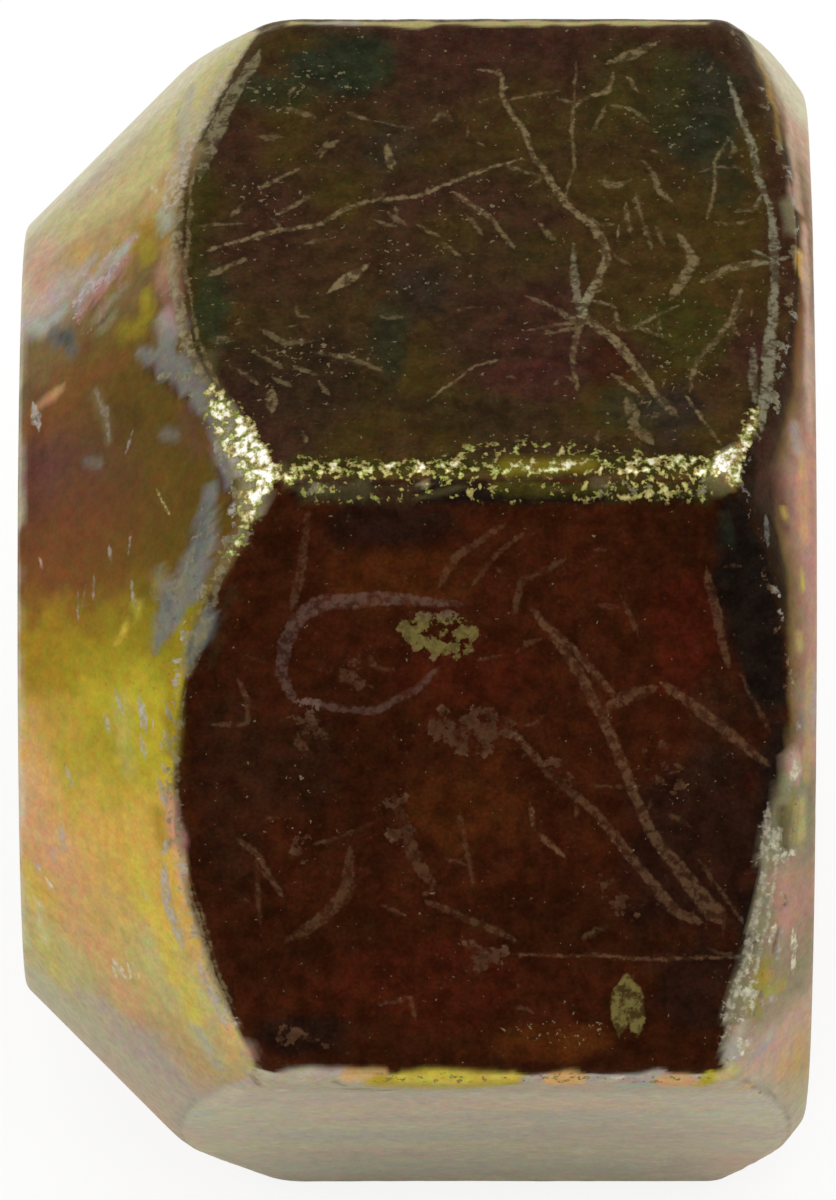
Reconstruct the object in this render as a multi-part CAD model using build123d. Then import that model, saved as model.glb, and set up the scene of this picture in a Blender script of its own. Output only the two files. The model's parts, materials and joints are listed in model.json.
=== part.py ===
from build123d import *
from math import cos, radians, tan
import os

# Open-ended wheel lug nut: one piece of steel, cut from hexagon bar, turned to a
# cone seat at the nose and a chamfer at the wrench face, and bored through for
# its thread. The bore is plain at the thread's minor diameter.
#
# Frame: X runs along the thread axis with the cone seat towards -X, +Z is up, and
# the nut lies on one flat of its hexagon. The origin is on the thread axis,
# half-way along the nut.

# Driving dimensions, in millimetres and degrees
across_flats = 26.99        # 1 1/16 in hexagon
nut_length = 19.65          # nose face to wrench face
hex_edge_round = 0.95       # radius of the six long edges of the bar

minor_diameter = 14.5       # crests of a 5/8-18 thread
countersink_depth = 0.95    # at each mouth of the bore
countersink_angle = 90.0    # included angle

nose_land = 1.375           # flat ring between the nose countersink and the cone
nose_round = 0.4            # radius at the rim of the nose
seat_angle = 90.0           # included angle of the cone seat
seat_knuckle_round = 2.6    # radius where the cone runs out at the hexagon's corners

rim_inset = 0.6             # how far the wrench face's rim lies inside the flats
rim_round = 0.7             # radius at the rim of the wrench face
chamfer_angle = 36.0        # slope of the corner chamfer, from the wrench face
chamfer_knuckle_round = 1.2 # radius where the chamfer runs out at the corners

turning_allowance = 0.05    # gap between the bar's corners and the turned outline

# Worked-out sizes
half_length = nut_length / 2
bore_radius = minor_diameter / 2
countersink_slope = tan(radians(countersink_angle / 2))
mouth_radius = bore_radius + countersink_depth * countersink_slope
nose_radius = mouth_radius + nose_land
rim_radius = across_flats / 2 - rim_inset

sharp_corner_radius = across_flats / 2 / cos(radians(30))
corner_radius = sharp_corner_radius - hex_edge_round * (1 / cos(radians(30)) - 1)
outline_radius = corner_radius + turning_allowance


def make_hexagon_bar():
    """Six-sided bar with rounded long edges, corners at +Y and -Y, flats at +Z and -Z."""
    hexagon = RegularPolygon(across_flats / 2, 6, major_radius=False)
    hexagon = fillet(hexagon.vertices(), hex_edge_round)
    return extrude(Plane.YZ * hexagon, half_length, both=True)


def make_turned_outline():
    """Solid of revolution that the lathe leaves: nose, cone seat, corners, chamfer and rim."""
    seat_end = -half_length + (outline_radius - nose_radius) / tan(radians(seat_angle / 2))
    chamfer_start = half_length - (outline_radius - rim_radius) * tan(radians(chamfer_angle))

    nose_rim = (-half_length, nose_radius)
    seat_knuckle = (seat_end, outline_radius)
    chamfer_knuckle = (chamfer_start, outline_radius)
    wrench_rim = (half_length, rim_radius)
    corner_rounds = {
        nose_rim: nose_round,
        seat_knuckle: seat_knuckle_round,
        chamfer_knuckle: chamfer_knuckle_round,
        wrench_rim: rim_round,
    }

    outline = make_face(
        Polyline(
            (-half_length, 0),
            *corner_rounds,
            (half_length, 0),
            close=True,
        )
    )
    for point, radius in corner_rounds.items():
        corner = outline.vertices().sort_by_distance(point)[0]
        outline = fillet(corner, radius)
    return revolve(outline, Axis.X)


def make_bore():
    """Through hole at the minor diameter with a countersink at each mouth."""
    drill = Rot(0, 90, 0) * Cylinder(bore_radius, nut_length)
    mouth = make_face(
        Polyline(
            (half_length, 0),
            (half_length, mouth_radius),
            (half_length - countersink_depth, bore_radius),
            (half_length - countersink_depth, 0),
            close=True,
        )
    )
    wrench_countersink = revolve(mouth, Axis.X)
    nose_countersink = mirror(wrench_countersink, Plane.YZ)
    return drill + wrench_countersink + nose_countersink


lug_nut = make_hexagon_bar() & make_turned_outline()
lug_nut = lug_nut - make_bore()
lug_nut.label = "lug_nut"

os.makedirs("parts", exist_ok=True)
export_step(lug_nut, "parts/lug_nut.step")
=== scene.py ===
import json
import math
import bpy
import numpy as np
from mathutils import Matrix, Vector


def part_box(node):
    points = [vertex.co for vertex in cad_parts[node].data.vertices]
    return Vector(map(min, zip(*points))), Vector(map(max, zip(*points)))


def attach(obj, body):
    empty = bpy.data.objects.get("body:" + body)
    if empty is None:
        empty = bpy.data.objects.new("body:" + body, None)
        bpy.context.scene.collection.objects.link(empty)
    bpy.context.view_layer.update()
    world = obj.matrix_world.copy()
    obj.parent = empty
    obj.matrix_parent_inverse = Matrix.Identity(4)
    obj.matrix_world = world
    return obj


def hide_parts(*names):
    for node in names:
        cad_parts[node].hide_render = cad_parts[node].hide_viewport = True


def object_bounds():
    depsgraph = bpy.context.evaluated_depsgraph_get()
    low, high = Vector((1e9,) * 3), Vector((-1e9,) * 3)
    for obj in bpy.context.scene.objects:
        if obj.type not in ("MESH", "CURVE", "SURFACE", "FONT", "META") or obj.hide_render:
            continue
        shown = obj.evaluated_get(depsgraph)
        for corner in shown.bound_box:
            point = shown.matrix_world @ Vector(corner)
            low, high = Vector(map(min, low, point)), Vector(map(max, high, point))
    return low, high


# Lug nut in dark yellow zinc plate, worn and scratched. The nut is one closed surface, worked out
# in millimetres round the thread axis X and put into the mesh in metres.

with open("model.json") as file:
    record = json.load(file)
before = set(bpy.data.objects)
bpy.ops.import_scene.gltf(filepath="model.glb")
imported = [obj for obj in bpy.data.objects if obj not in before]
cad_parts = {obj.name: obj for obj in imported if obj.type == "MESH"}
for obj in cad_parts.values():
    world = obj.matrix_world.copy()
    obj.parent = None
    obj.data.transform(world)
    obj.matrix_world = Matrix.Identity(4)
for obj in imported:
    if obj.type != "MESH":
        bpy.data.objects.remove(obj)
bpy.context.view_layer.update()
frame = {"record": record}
mm = 0.001


# The camera looks down on the nut from the front
camera = {
    "elevation": 48.5,          # degrees; the rest is in mm
    "distance": 400,
    "heightInView": 30.31,      # what the long side of the view takes in at the nut's middle
    "aimRight": 0.063,
    "aimUp": 0.172,
    "sensor": 36,
    "nearest": 10,
    "farthest": 20000,
}


def makeCamera():
    lift = math.radians(camera["elevation"])
    back = np.array([0, -math.cos(lift), math.sin(lift)])
    up = np.array([0, math.sin(lift), math.cos(lift)])
    right = np.array([1, 0, 0])
    place = back * camera["distance"] + right * camera["aimRight"] + up * camera["aimUp"]
    data = bpy.data.cameras.new("nutCamera")
    data.sensor_width = camera["sensor"]
    data.lens = camera["sensor"] * camera["distance"] / camera["heightInView"]
    data.clip_start = camera["nearest"] * mm
    data.clip_end = camera["farthest"] * mm
    eye = bpy.data.objects.new("nutCamera", data)
    eye.location = place * mm
    eye.rotation_euler = (math.radians(90) - lift, 0, 0)
    bpy.context.scene.collection.objects.link(eye)
    bpy.context.scene.camera = eye


makeCamera()
print("camera ready")


def ease(value, start, end):
    # Smooth step from 0 at start to 1 at end
    t = np.clip((value - start) / (end - start), 0, 1)
    return t * t * (3 - 2 * t)


def bell(distance, reach):
    # 1 at no distance, falling off to about a third at the reach: exp(-(distance / reach) squared)
    return np.exp(-(distance / reach) ** 2)


# The nut's form, in mm
low, high = (np.array(corner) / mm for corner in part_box("lug_nut"))
thread = next(mount for mount in frame["record"]["mounts"] if mount["name"] == "thread")
nut = {
    "halfLength": high[0],
    "halfFlats": high[2],
    "edgeRound": 0.95,          # along the six long edges
    "boreRadius": thread["dims"]["r_mm"],
    "mouthDepth": high[0] - thread["dims"]["length_mm"] / 2,
    "noseLand": 1.375,
    "noseRound": 0.4,
    "seatSlope": 45,            # degrees from the axis
    "rimInset": 0.6,
    "rimRound": 0.7,
    "chamferSlope": 54,
    "kneeRound": 2.6,           # where the seat runs out at a corner
    "backKneeRound": 1.2,
    "crispRound": 0.2,          # the same two borders in the middle of a flat
    "kneeReach": 20,            # degrees from the corner
    "mouthRound": 0.12,
    "flatSteps": [54, 84, 84, 69, 54, 54],      # columns over each flat
    "edgeSteps": 12,            # columns over each long edge
    "arcSteps": [3, 6, 9, 10, 5, 3],
    "runSteps": [7, 9, 72, 27, 4],
    "pitch": 25.4 / 18,
    "threadDepth": 0.69,
    "threadRows": 12,           # rows to one turn of the thread
    "threadShare": 3,           # outer columns to one column in the bore
}
nut["mouthRadius"] = nut["boreRadius"] + nut["mouthDepth"]
nut["noseRadius"] = nut["mouthRadius"] + nut["noseLand"]
nut["rimRadius"] = nut["halfFlats"] - nut["rimInset"]


def sampleColumns():
    # One side of the hexagon at a time: half a long edge, the flat, half a long edge. A point of the
    # flat, s from its middle, stands at angle atan(s / halfFlats); a point of the edge stands on a
    # small circle about the corner's centre. Gives angle, radius, side and s for every column, and
    # girth: the way round the hexagon from the first corner.
    flats, small = nut["halfFlats"], nut["edgeRound"]
    run = (flats - small) * math.tan(math.radians(30))
    turn = np.radians(np.linspace(0, 30, nut["edgeSteps"] // 2 + 1))[1:]
    onEdge = run + small * np.sin(turn)
    edgeWay = run + small * turn
    edgeHeight = flats - small + small * np.cos(turn)
    parts = []
    for side, steps in enumerate(nut["flatSteps"]):
        onFlat = np.linspace(-run, run, steps + 1)
        s = np.concatenate([-onEdge[::-1], onFlat, onEdge])[:-1]
        way = np.concatenate([-edgeWay[::-1], onFlat, edgeWay])[:-1]
        height = np.concatenate([edgeHeight[::-1], np.full(steps + 1, flats), edgeHeight])[:-1]
        around = math.radians(30 + 60 * side) + np.arctan2(s, height)
        girth = way + edgeWay[-1] * (2 * side + 1)
        parts.append(np.stack([around, np.hypot(s, height), np.full_like(s, side), s, girth]))
    return np.concatenate(parts, 1)


def borders(radius):
    # Where the seat and the chamfer meet the hexagon: each cone climbs from its rim to this radius
    seat = (radius - nut["noseRadius"]) / math.tan(math.radians(nut["seatSlope"]))
    chamfer = (radius - nut["rimRadius"]) / math.tan(math.radians(nut["chamferSlope"]))
    return seat - nut["halfLength"], nut["halfLength"] - chamfer


def degreesFromCorner(angle):
    # The hexagon's corners stand every 60 degrees, the first at 0
    return np.degrees(np.abs((angle + math.pi / 6) % (math.pi / 3) - math.pi / 6))


def arcRows(corner, before, after, radius, count):
    # Fillet at a corner of the lengthwise section, in every column at once: the arc that touches both
    # runs at radius / tan(half the corner's angle) from the corner, swept evenly about its centre
    u = before - corner
    v = after - corner
    u = u / np.linalg.norm(u, axis=1, keepdims=True)
    v = v / np.linalg.norm(v, axis=1, keepdims=True)
    half = np.arccos(np.clip((u * v).sum(1), -1, 1)) / 2
    middle = (u + v) / np.linalg.norm(u + v, axis=1, keepdims=True)
    centre = corner + middle * (radius / np.sin(half))[:, None]
    start = corner + u * (radius / np.tan(half))[:, None] - centre
    end = corner + v * (radius / np.tan(half))[:, None] - centre
    sweep = (math.pi - 2 * half)[None, :, None]
    t = np.linspace(0, 1, count + 1)[:, None, None]
    return centre + (np.sin((1 - t) * sweep) * start + np.sin(t * sweep) * end) / np.sin(sweep)


def runRows(first, last, count):
    # Straight rows between two arcs, without their ends
    t = np.linspace(0, 1, count + 1)[1:-1, None, None]
    return first + (last - first) * t


def sectionRows(angle, radius):
    # Lengthwise section of every column as rows of (x, r): wrench mouth, rim, chamfer, flat, seat,
    # nose, nose mouth. The two borders are crisp on the flats and round off towards the corners.
    half = nut["halfLength"]
    seatX, chamferX = borders(radius)
    nearCorner = bell(degreesFromCorner(angle), nut["kneeReach"])
    throat = half - nut["mouthDepth"]
    corners = [
        (throat, nut["boreRadius"]),
        (half, nut["mouthRadius"]),
        (half, nut["rimRadius"]),
        (chamferX, radius),
        (seatX, radius),
        (-half, nut["noseRadius"]),
        (-half, nut["mouthRadius"]),
        (-throat, nut["boreRadius"]),
    ]
    even = np.ones_like(radius)
    corners = [np.stack([x * even, r * even], 1) for x, r in corners]
    crisp = nut["crispRound"]
    rounds = [
        nut["mouthRound"],
        nut["rimRound"],
        crisp + (nut["backKneeRound"] - crisp) * nearCorner,
        crisp + (nut["kneeRound"] - crisp) * nearCorner,
        nut["noseRound"],
        nut["mouthRound"],
    ]
    parts = []
    for n, size in enumerate(rounds):
        arc = arcRows(corners[n + 1], corners[n], corners[n + 2], size * even, nut["arcSteps"][n])
        if parts:
            parts.append(runRows(parts[-1][-1], arc[0], nut["runSteps"][n - 1]))
        parts.append(arc)
    return np.concatenate(parts)


def boreRows(angle, first, last):
    # The bore from one mouth to the other. A 60 degree thread: the wall stands at the root's radius
    # less (distance from the root's flat) / tan 30, held between crest and root, and the root climbs
    # one pitch in x for each turn. The mouths' cones cut the thread off.
    root = nut["boreRadius"] + nut["threadDepth"]
    count = round(abs(last - first) / nut["pitch"] * nut["threadRows"])
    x = np.linspace(first, last, count + 1)[1:-1, None] * np.ones_like(angle)
    turns = x / nut["pitch"] - angle / (2 * math.pi)
    halfRoot = nut["pitch"] / 16
    off = np.abs(turns - np.round(turns)) * nut["pitch"] - halfRoot
    wall = np.clip(root - off / math.tan(math.radians(30)), nut["boreRadius"], root)
    cone = nut["mouthRadius"] - (nut["halfLength"] - np.abs(x))
    return np.stack([x, np.maximum(wall, cone)], 2)


def placeRows(rows, angle):
    # (x, r) and the column's angle to (x, y, z)
    return np.stack([rows[..., 0], rows[..., 1] * np.cos(angle), rows[..., 1] * np.sin(angle)], -1)


def gridNormals(points):
    # Cross product of the two grid directions; the columns close on themselves
    alongRows = np.gradient(points, axis=0)
    alongColumns = np.roll(points, -1, 1) - np.roll(points, 1, 1)
    normal = np.cross(alongRows, alongColumns)
    return normal / np.linalg.norm(normal, axis=-1, keepdims=True)


dice = np.random.default_rng(41).random((32, 32, 32)) * 2 - 1


def softNoise(points, size, shift=0.0):
    # Smooth noise from -1 to 1: random values on a lattice of the given size, eased between corners.
    # The shift moves it along, so that two noises don't run together.
    p = points / size + shift
    base = np.floor(p).astype(int)
    f = p - base
    f = f * f * (3 - 2 * f)
    total = 0
    for corner in np.ndindex(2, 2, 2):
        c = np.array(corner)
        weight = np.prod(np.where(c == 1, f, 1 - f), axis=-1)
        i, j, k = np.moveaxis((base + c) % 32, -1, 0)
        total = total + weight * dice[i, j, k]
    return total


angle, hexRadius, side, across, girth = sampleColumns()
columns = len(angle)
sideLength = girth[side == 1][0]
outer = sectionRows(angle, hexRadius)
outerPoints = placeRows(outer, angle)
boreAngle = angle[:: nut["threadShare"]]
bore = boreRows(boreAngle, outer[-1, 0, 0], outer[0, 0, 0])
borePoints = placeRows(bore, boreAngle)

# Distances that wear and finish follow, in mm: past the seat's border, past the chamfer's border,
# and from the nearest long edge
seatX, chamferX = borders(hexRadius)
pastSeat = outer[..., 0] - seatX
pastChamfer = outer[..., 0] - chamferX
edgeHalf = np.abs(across).max()
fromEdge = np.broadcast_to(edgeHalf - np.abs(across), pastSeat.shape)

# Wear: the borders and the long edges lose a few hundredths in an uneven line
wear = {
    "seatBorder": 0.06,
    "chamferBorder": 0.06,
    "longEdge": 0.05,
    "reach": 0.3,
    "knocks": 0.55,             # sizes of the noises that make the line uneven
    "nicks": 0.23,
    "waves": 0.012,
    "waveSize": 3.1,
    "fade": 0.6,                # it fades out over this much inside the nose's rim
}


def wearDown(points):
    # Inward by noise times closeness to a border or edge, plus shallow waves all over
    edgeLine = bell(fromEdge, wear["reach"]) * ease(pastSeat, -1, 0) * ease(-pastChamfer, -1, 0)
    lines = wear["seatBorder"] * bell(pastSeat, wear["reach"])
    lines = lines + wear["chamferBorder"] * bell(pastChamfer, wear["reach"]) + wear["longEdge"] * edgeLine
    rough = 0.5 + 0.5 * softNoise(points, wear["knocks"]) + 0.35 * softNoise(points, wear["nicks"], 7.3)
    depth = np.clip(rough, 0, 1.4) * lines
    depth = depth + wear["waves"] * (1 + softNoise(points, wear["waveSize"], 3.7)) * 0.5
    keep = ease(outer[..., 1], nut["noseRadius"] - wear["fade"], nut["noseRadius"])
    return points - gridNormals(points) * (depth * keep)[..., None]


outerPoints = wearDown(outerPoints)
print("outer grid", outerPoints.shape, "bore grid", borePoints.shape)


# The chart that finish and marks are placed on: x along the nut and girth round it, both in mm. On the
# seat and the chamfer the same chart is stretched along and shrunk round.
chartX = outer[..., 0]
chartGirth = np.broadcast_to(girth, chartX.shape)
slope = np.where(pastSeat < 0, nut["seatSlope"], np.where(pastChamfer > 0, nut["chamferSlope"], 0))
alongScale = 1 / np.cos(np.radians(slope))
aroundScale = outer[..., 1] / hexRadius
onFlats = ease(pastSeat, -0.1, 0.1) * ease(-pastChamfer, -0.1, 0.1)


def sideGirth(number, s):
    # Girth of a place on a flat, s from its middle
    return sideLength * (number + 0.5) + s


def turnGirth(degrees):
    # Girth of a place given by its angle round the axis
    return np.interp(np.radians(degrees), angle, girth)


def linear(colour):
    # Screen colour, 0 to 255, to light
    c = np.array(colour) / 255
    return np.where(c <= 0.04045, c / 12.92, ((c + 0.055) / 1.055) ** 2.4)


# Colours of the plating, as they look on a screen
shades = {
    "brown": (54, 38, 22),
    "darkBrown": (38, 27, 18),
    "goldBrown": (64, 49, 18),
    "maroon": (58, 34, 25),
    "wineDark": (70, 34, 32),
    "redBrown": (46, 20, 8),
    "rustDark": (56, 24, 10),
    "orangeBrown": (76, 38, 13),
    "red": (66, 20, 10),
    "black": (25, 18, 14),
    "blueBlack": (38, 36, 34),
    "greenBlack": (38, 42, 28),
    "teal": (40, 46, 26),
    "deepOlive": (56, 50, 18),
    "umber": (106, 84, 50),
    "darkOlive": (84, 64, 22),
    "rustWine": (98, 60, 34),
    "olive": (94, 72, 24),
    "mustard": (134, 118, 28),
    "rose": (168, 128, 114),
    "rust": (108, 68, 34),
    "wine": (88, 56, 46),
    "honey": (142, 114, 32),
    "yellow": (166, 150, 42),
    "gold": (192, 174, 70),
    "straw": (178, 172, 118),
    "sand": (176, 164, 108),
    "tan": (170, 144, 96),
    "apricot": (246, 178, 118),
    "orangeTan": (190, 154, 72),
    "peach": (194, 152, 98),
    "salmon": (192, 148, 104),
    "pink": (182, 124, 120),
    "blush": (180, 150, 132),
    "cream": (194, 190, 166),
    "greenCream": (170, 168, 138),
    "greyBeige": (166, 156, 138),
    "greyRose": (160, 146, 136),
    "greyTeal": (152, 158, 146),
    "lilac": (164, 154, 152),
    "edgeOlive": (82, 74, 46),
    "greyOlive": (122, 114, 86),
    "scuff": (118, 102, 72),
    "crust": (130, 122, 96),
    "pewter": (126, 121, 98),
    "wornBrown": (106, 78, 54),
    "ash": (100, 78, 68),
    "gilt": (110, 100, 54),
    "smudge": (74, 50, 34),
    "dustyRose": (152, 108, 98),
    "slate": (84, 86, 84),
    "steel": (108, 107, 101),
    "paleSteel": (156, 151, 142),
    "white": (246, 242, 226),
}
film = np.zeros(chartX.shape + (3,))

# Two noises on the surface: a slow one that the film's colours drift with, and a finer one that makes
# edges uneven
swirl = 0.5 + 0.5 * softNoise(outerPoints, 4.3, 2.2) + 0.3 * softNoise(outerPoints, 1.7, 5.1)
raggedness = softNoise(outerPoints, 0.9, 1.9) + 0.6 * softNoise(outerPoints, 0.4, 4.4)


def blendShades(names, t, stops=None):
    # Colours in a row, blended by t, which runs from 0 to 1 unless the stops are given
    stops = np.linspace(0, 1, len(names)) if stops is None else stops
    table = np.array([linear(shades[name]) for name in names])
    return np.stack([np.interp(t, stops, table[:, channel]) for channel in range(3)], -1)


def lay(colour, weight, onto=film):
    # Colour over what is there, by weight
    onto[...] += (colour - onto) * np.clip(weight, 0, 1)[..., None]


def near(x, around, reachX, reachAround, ragged=0.3):
    # 1 in the middle of an ellipse on the chart and 0 outside it, fading unevenly about its rim
    u = (chartX - x) / reachX
    v = (chartGirth - around) / reachAround
    return ease(-np.hypot(u, v) + ragged * raggedness, -1.25, -0.65)


# How fast a line narrows past its ends
endTaper = 0.6


def alongLine(points, widths):
    # Distance from a line on the chart, offset to one side of it, and its half-width there. The nearest
    # leg gives them; widths are one number or run from start to end. Past either end the line narrows.
    points = np.array(points, float)
    widths = np.atleast_1d(widths)
    legs = np.hypot(*np.diff(points, axis=0).T)
    way = np.concatenate([[0], np.cumsum(legs)])
    halfWidths = np.interp(way, np.linspace(0, way[-1], len(widths)), widths / 2)
    best = np.full(chartX.shape, 1e9)
    offset = np.zeros_like(best)
    half = np.full_like(best, -1.0)
    for n, length in enumerate(legs):
        step = (points[n + 1] - points[n]) / length
        dx = (chartX - points[n, 0]) * alongScale
        dg = (chartGirth - points[n, 1]) * aroundScale
        forward = dx * step[0] + dg * step[1]
        sideways = dx * step[1] - dg * step[0]
        over = np.maximum(np.maximum(-forward, forward - length), 0)
        distance = np.hypot(sideways, over)
        t = np.clip(forward / length, 0, 1)
        width = halfWidths[n] + (halfWidths[n + 1] - halfWidths[n]) * t - over * endTaper
        closer = distance < best
        best = np.where(closer, distance, best)
        offset = np.where(closer, sideways, offset)
        half = np.where(closer, width, half)
    return best, offset, half


def turnLine(points):
    # Points given as x and degrees round the axis, on the chart
    return [(x, turnGirth(degrees)) for x, degrees in points]


def strokeCover(points, widths, uneven, start, end):
    # 1 on a stroke given as x and degrees and 0 off it; its edge wanders and is soft from start to end
    best, offset, half = alongLine(turnLine(points), widths)
    return ease(half + uneven * raggedness - best, start, end)


# Plain finish of the seat, from the nose to its border, and of the chamfer, from the flats to the rim.
# Each row: degrees round the axis, shade at the start, shade at the end.
seatRun = [
    (0, "greenCream", "sand"), (25, "blush", "straw"), (45, "cream", "cream"), (56, "cream", "cream"),
    (62, "greyBeige", "straw"), (70, "blush", "sand"), (78, "blush", "tan"), (84, "lilac", "honey"),
    (91, "umber", "umber"), (98, "umber", "olive"), (104, "rust", "darkOlive"), (112, "wine", "darkOlive"),
    (120, "rustWine", "darkOlive"), (128, "rust", "olive"), (135, "honey", "mustard"),
    (141, "honey", "yellow"), (150, "orangeTan", "yellow"), (158, "peach", "orangeTan"),
    (166, "salmon", "orangeTan"), (175, "orangeTan", "sand"), (184, "sand", "tan"),
    (192, "sand", "greyRose"), (200, "greenCream", "greyBeige"), (225, "greyBeige", "blush"),
    (250, "sand", "straw"), (275, "salmon", "tan"), (300, "umber", "olive"), (325, "honey", "mustard"),
    (345, "orangeTan", "straw"), (360, "greenCream", "sand"),
]
chamferRun = [
    (0, "tan", "blush"), (30, "greyOlive", "cream"), (56, "cream", "cream"), (62, "olive", "cream"),
    (68, "rust", "blush"), (76, "umber", "blush"), (90, "rust", "greyRose"), (105, "rust", "greyRose"),
    (111, "umber", "rose"), (115, "umber", "rose"), (119, "wine", "rose"), (124, "umber", "rose"),
    (132, "umber", "rose"), (138, "umber", "rose"), (142, "umber", "greyRose"), (147, "umber", "rose"),
    (151, "greyOlive", "crust"), (157, "greyOlive", "crust"), (165, "greyOlive", "rose"),
    (172, "greyOlive", "crust"), (182, "greyBeige", "blush"), (190, "greyBeige", "tan"),
    (205, "greyBeige", "greenCream"), (240, "tan", "blush"), (270, "maroon", "pink"),
    (300, "greyOlive", "salmon"), (330, "rust", "tan"), (360, "tan", "blush"),
]

# Where the pale chamfer begins, as degrees and x: on two sides its line strays from the border
paleFrom = [
    (60, 8.3), (66, 8.7), (76, 9.3), (84, 9.5), (94, 9.5), (104, 9.3), (109, 9.2), (115, 8.9), (118, 8.7),
    (123, 8.8), (128, 9), (132, 9.1), (145, 9.1), (148, 9), (152, 8.8), (159, 8.6), (165, 8.5), (170, 8.1),
    (177, 7.5), (182, 7.8),
]


def layRun(run, across, weight):
    # A run's shades by the angle, made uneven by a degree or two, and blended by across
    degrees = np.degrees(angle) % 360 + 2.2 * raggedness
    stops = [row[0] for row in run]
    first = blendShades([row[1] for row in run], degrees, stops)
    last = blendShades([row[2] for row in run], degrees, stops)
    lay(first + (last - first) * across[..., None], weight)


layRun(seatRun, ease(pastSeat, -4.4, -1.2) * ease(chartX, -9.6, -8), np.ones_like(chartX))
# Dark base for the back half and for all six flats: the plating's own hues, kept dark as a painted dark
# reflection of the room. On the low flat the pale grey-beige is a painted reflection of the pale floor.
lay(blendShades(["maroon", "darkBrown", "brown", "black"], swirl), ease(chartX, 2, 4))
lay(blendShades(["deepOlive", "brown", "goldBrown", "redBrown", "brown", "greenBlack"], swirl), onFlats)
lay(blendShades(["maroon", "goldBrown", "brown", "maroon", "brown"], swirl), onFlats * (side == 1))
lay(blendShades(["redBrown", "redBrown", "rustDark", "redBrown"], swirl), onFlats * (side == 2))
lay(linear(shades["greyBeige"]), onFlats * (side == 3))

# Patches on the top flat and on the middle one: x, s, reach along and across, shade, strength. Their hues are
# the plating's own, at the darkness of the painted dark reflection; the black ones on the middle flat's right
# part are painted shade.
topPatches = [
    (-1.9, -6.2, 1.5, 1.3, "greenBlack", 0.95),
    (-1.2, -6, 0.7, 0.7, "teal", 0.4),
    (-4, -5.4, 0.8, 0.6, "blueBlack", 0.5),
    (-3.3, -5.1, 1, 0.7, "teal", 0.6),
    (-3.4, -6.9, 1.1, 0.4, "goldBrown", 0.8),
    (1.2, -6.2, 1.5, 1.3, "maroon", 0.8),
    (-5, 2.1, 0.5, 1.5, "teal", 0.8),
    (-5.4, -1.5, 0.4, 2.6, "deepOlive", 0.7),
    (-5.3, 4.2, 0.5, 1.2, "deepOlive", 0.7),
    (-0.6, 3.4, 0.5, 1.4, "greenBlack", 0.7),
    (0.3, 1.5, 0.8, 0.9, "blueBlack", 0.35),
    (-0.5, -3.4, 1.1, 0.8, "blueBlack", 0.4),
    (-4.2, -3.4, 0.8, 1.2, "maroon", 0.7),
    (-3, 0.5, 2, 1.6, "maroon", 0.5),
    (-2.5, 4.5, 2.2, 1.4, "darkBrown", 0.5),
    (7, -4.5, 1.1, 2.1, "greenBlack", 0.8),
    (7.6, -1.9, 0.6, 0.9, "greenBlack", 0.6),
    (5.6, -5.3, 1.3, 1.6, "deepOlive", 0.6),
    (6, 0.2, 2.6, 2.8, "goldBrown", 0.6),
    (6.6, 2.8, 1.1, 1.4, "deepOlive", 0.9),
    (3.3, -6.9, 1.2, 0.7, "maroon", 0.9),
    (2.6, -4.3, 1.4, 1.6, "goldBrown", 0.5),
    (2.9, 4.4, 1.5, 0.9, "wineDark", 0.55),
    (4.9, 4, 0.7, 0.9, "rustDark", 0.6),
    (1.4, 5.6, 1.5, 0.8, "darkBrown", 0.5),
    (5.2, 5.4, 0.8, 0.7, "teal", 0.5),
    (6.3, 5.6, 0.9, 1, "blueBlack", 0.6),
    (0.8, -4.4, 1.5, 1.5, "maroon", 0.3),
    (1.7, 0.4, 1.4, 1.6, "deepOlive", 0.3),
    (0.8, -0.6, 1, 0.8, "goldBrown", 0.5),
    (9.05, -1, 0.4, 4.5, "maroon", 0.8),
    (8.5, 6, 0.5, 1.6, "darkBrown", 0.9),
]
middlePatches = [
    (-0.5, -5.4, 1.9, 0.9, "orangeBrown", 0.45),
    (1.3, 0.8, 1.6, 1.1, "orangeBrown", 0.4),
    (-0.7, -6.5, 1.6, 0.7, "black", 0.7),
    # painted shade on the right part
    (6.9, 1.8, 2, 2.2, "black", 0.6),
    (7.4, -1.6, 0.8, 1.6, "darkBrown", 0.4),
    (6.5, -3.9, 0.9, 1.6, "red", 0.5),
    (6.9, 5.4, 1.1, 1.4, "black", 0.6),
    (-3, -0.5, 1.2, 1.4, "darkBrown", 0.3),
    (-4.2, 0.8, 1, 1, "rustDark", 0.5),
    (0.4, 5.2, 3.4, 1.1, "red", 0.3),
    (-4.4, 0.2, 0.9, 2.5, "darkBrown", 0.3),
    (1.2, -2.9, 1.9, 0.9, "red", 0.35),
    (-2.7, 6.6, 1.2, 0.6, "black", 0.7),
    (3, 6.9, 1.6, 0.4, "orangeBrown", 0.5),
    # painted shade along the right border
    (8.1, -5.6, 0.85, 1.6, "black", 1),
    (8.5, -3.4, 0.7, 2.2, "black", 0.95),
    (8.9, 0, 0.45, 2.8, "black", 0.9),
    (8.4, 4, 0.5, 2.2, "black", 0.9),
    (3.4, 6.6, 1.5, 0.35, "orangeBrown", 0.6),
]
for number, patches in ((1, topPatches), (2, middlePatches)):
    for x, s, reachX, reachS, shade, strength in patches:
        place = near(x, sideGirth(number, s), reachX, reachS)
        lay(linear(shades[shade]), place * strength * onFlats * (side == number))

degrees = np.degrees(angle) % 360
paleDegrees, paleX = np.array(paleFrom).T
strays = (degrees > paleDegrees[0]) & (degrees < paleDegrees[-1])
paleLine = np.where(strays, np.interp(degrees, paleDegrees, paleX), chamferX)
pastPale = chartX - paleLine + 0.05 * raggedness
layRun(chamferRun, ease(pastPale, 0, 0.7), ease(pastPale, -0.08, 0.12))

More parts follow.
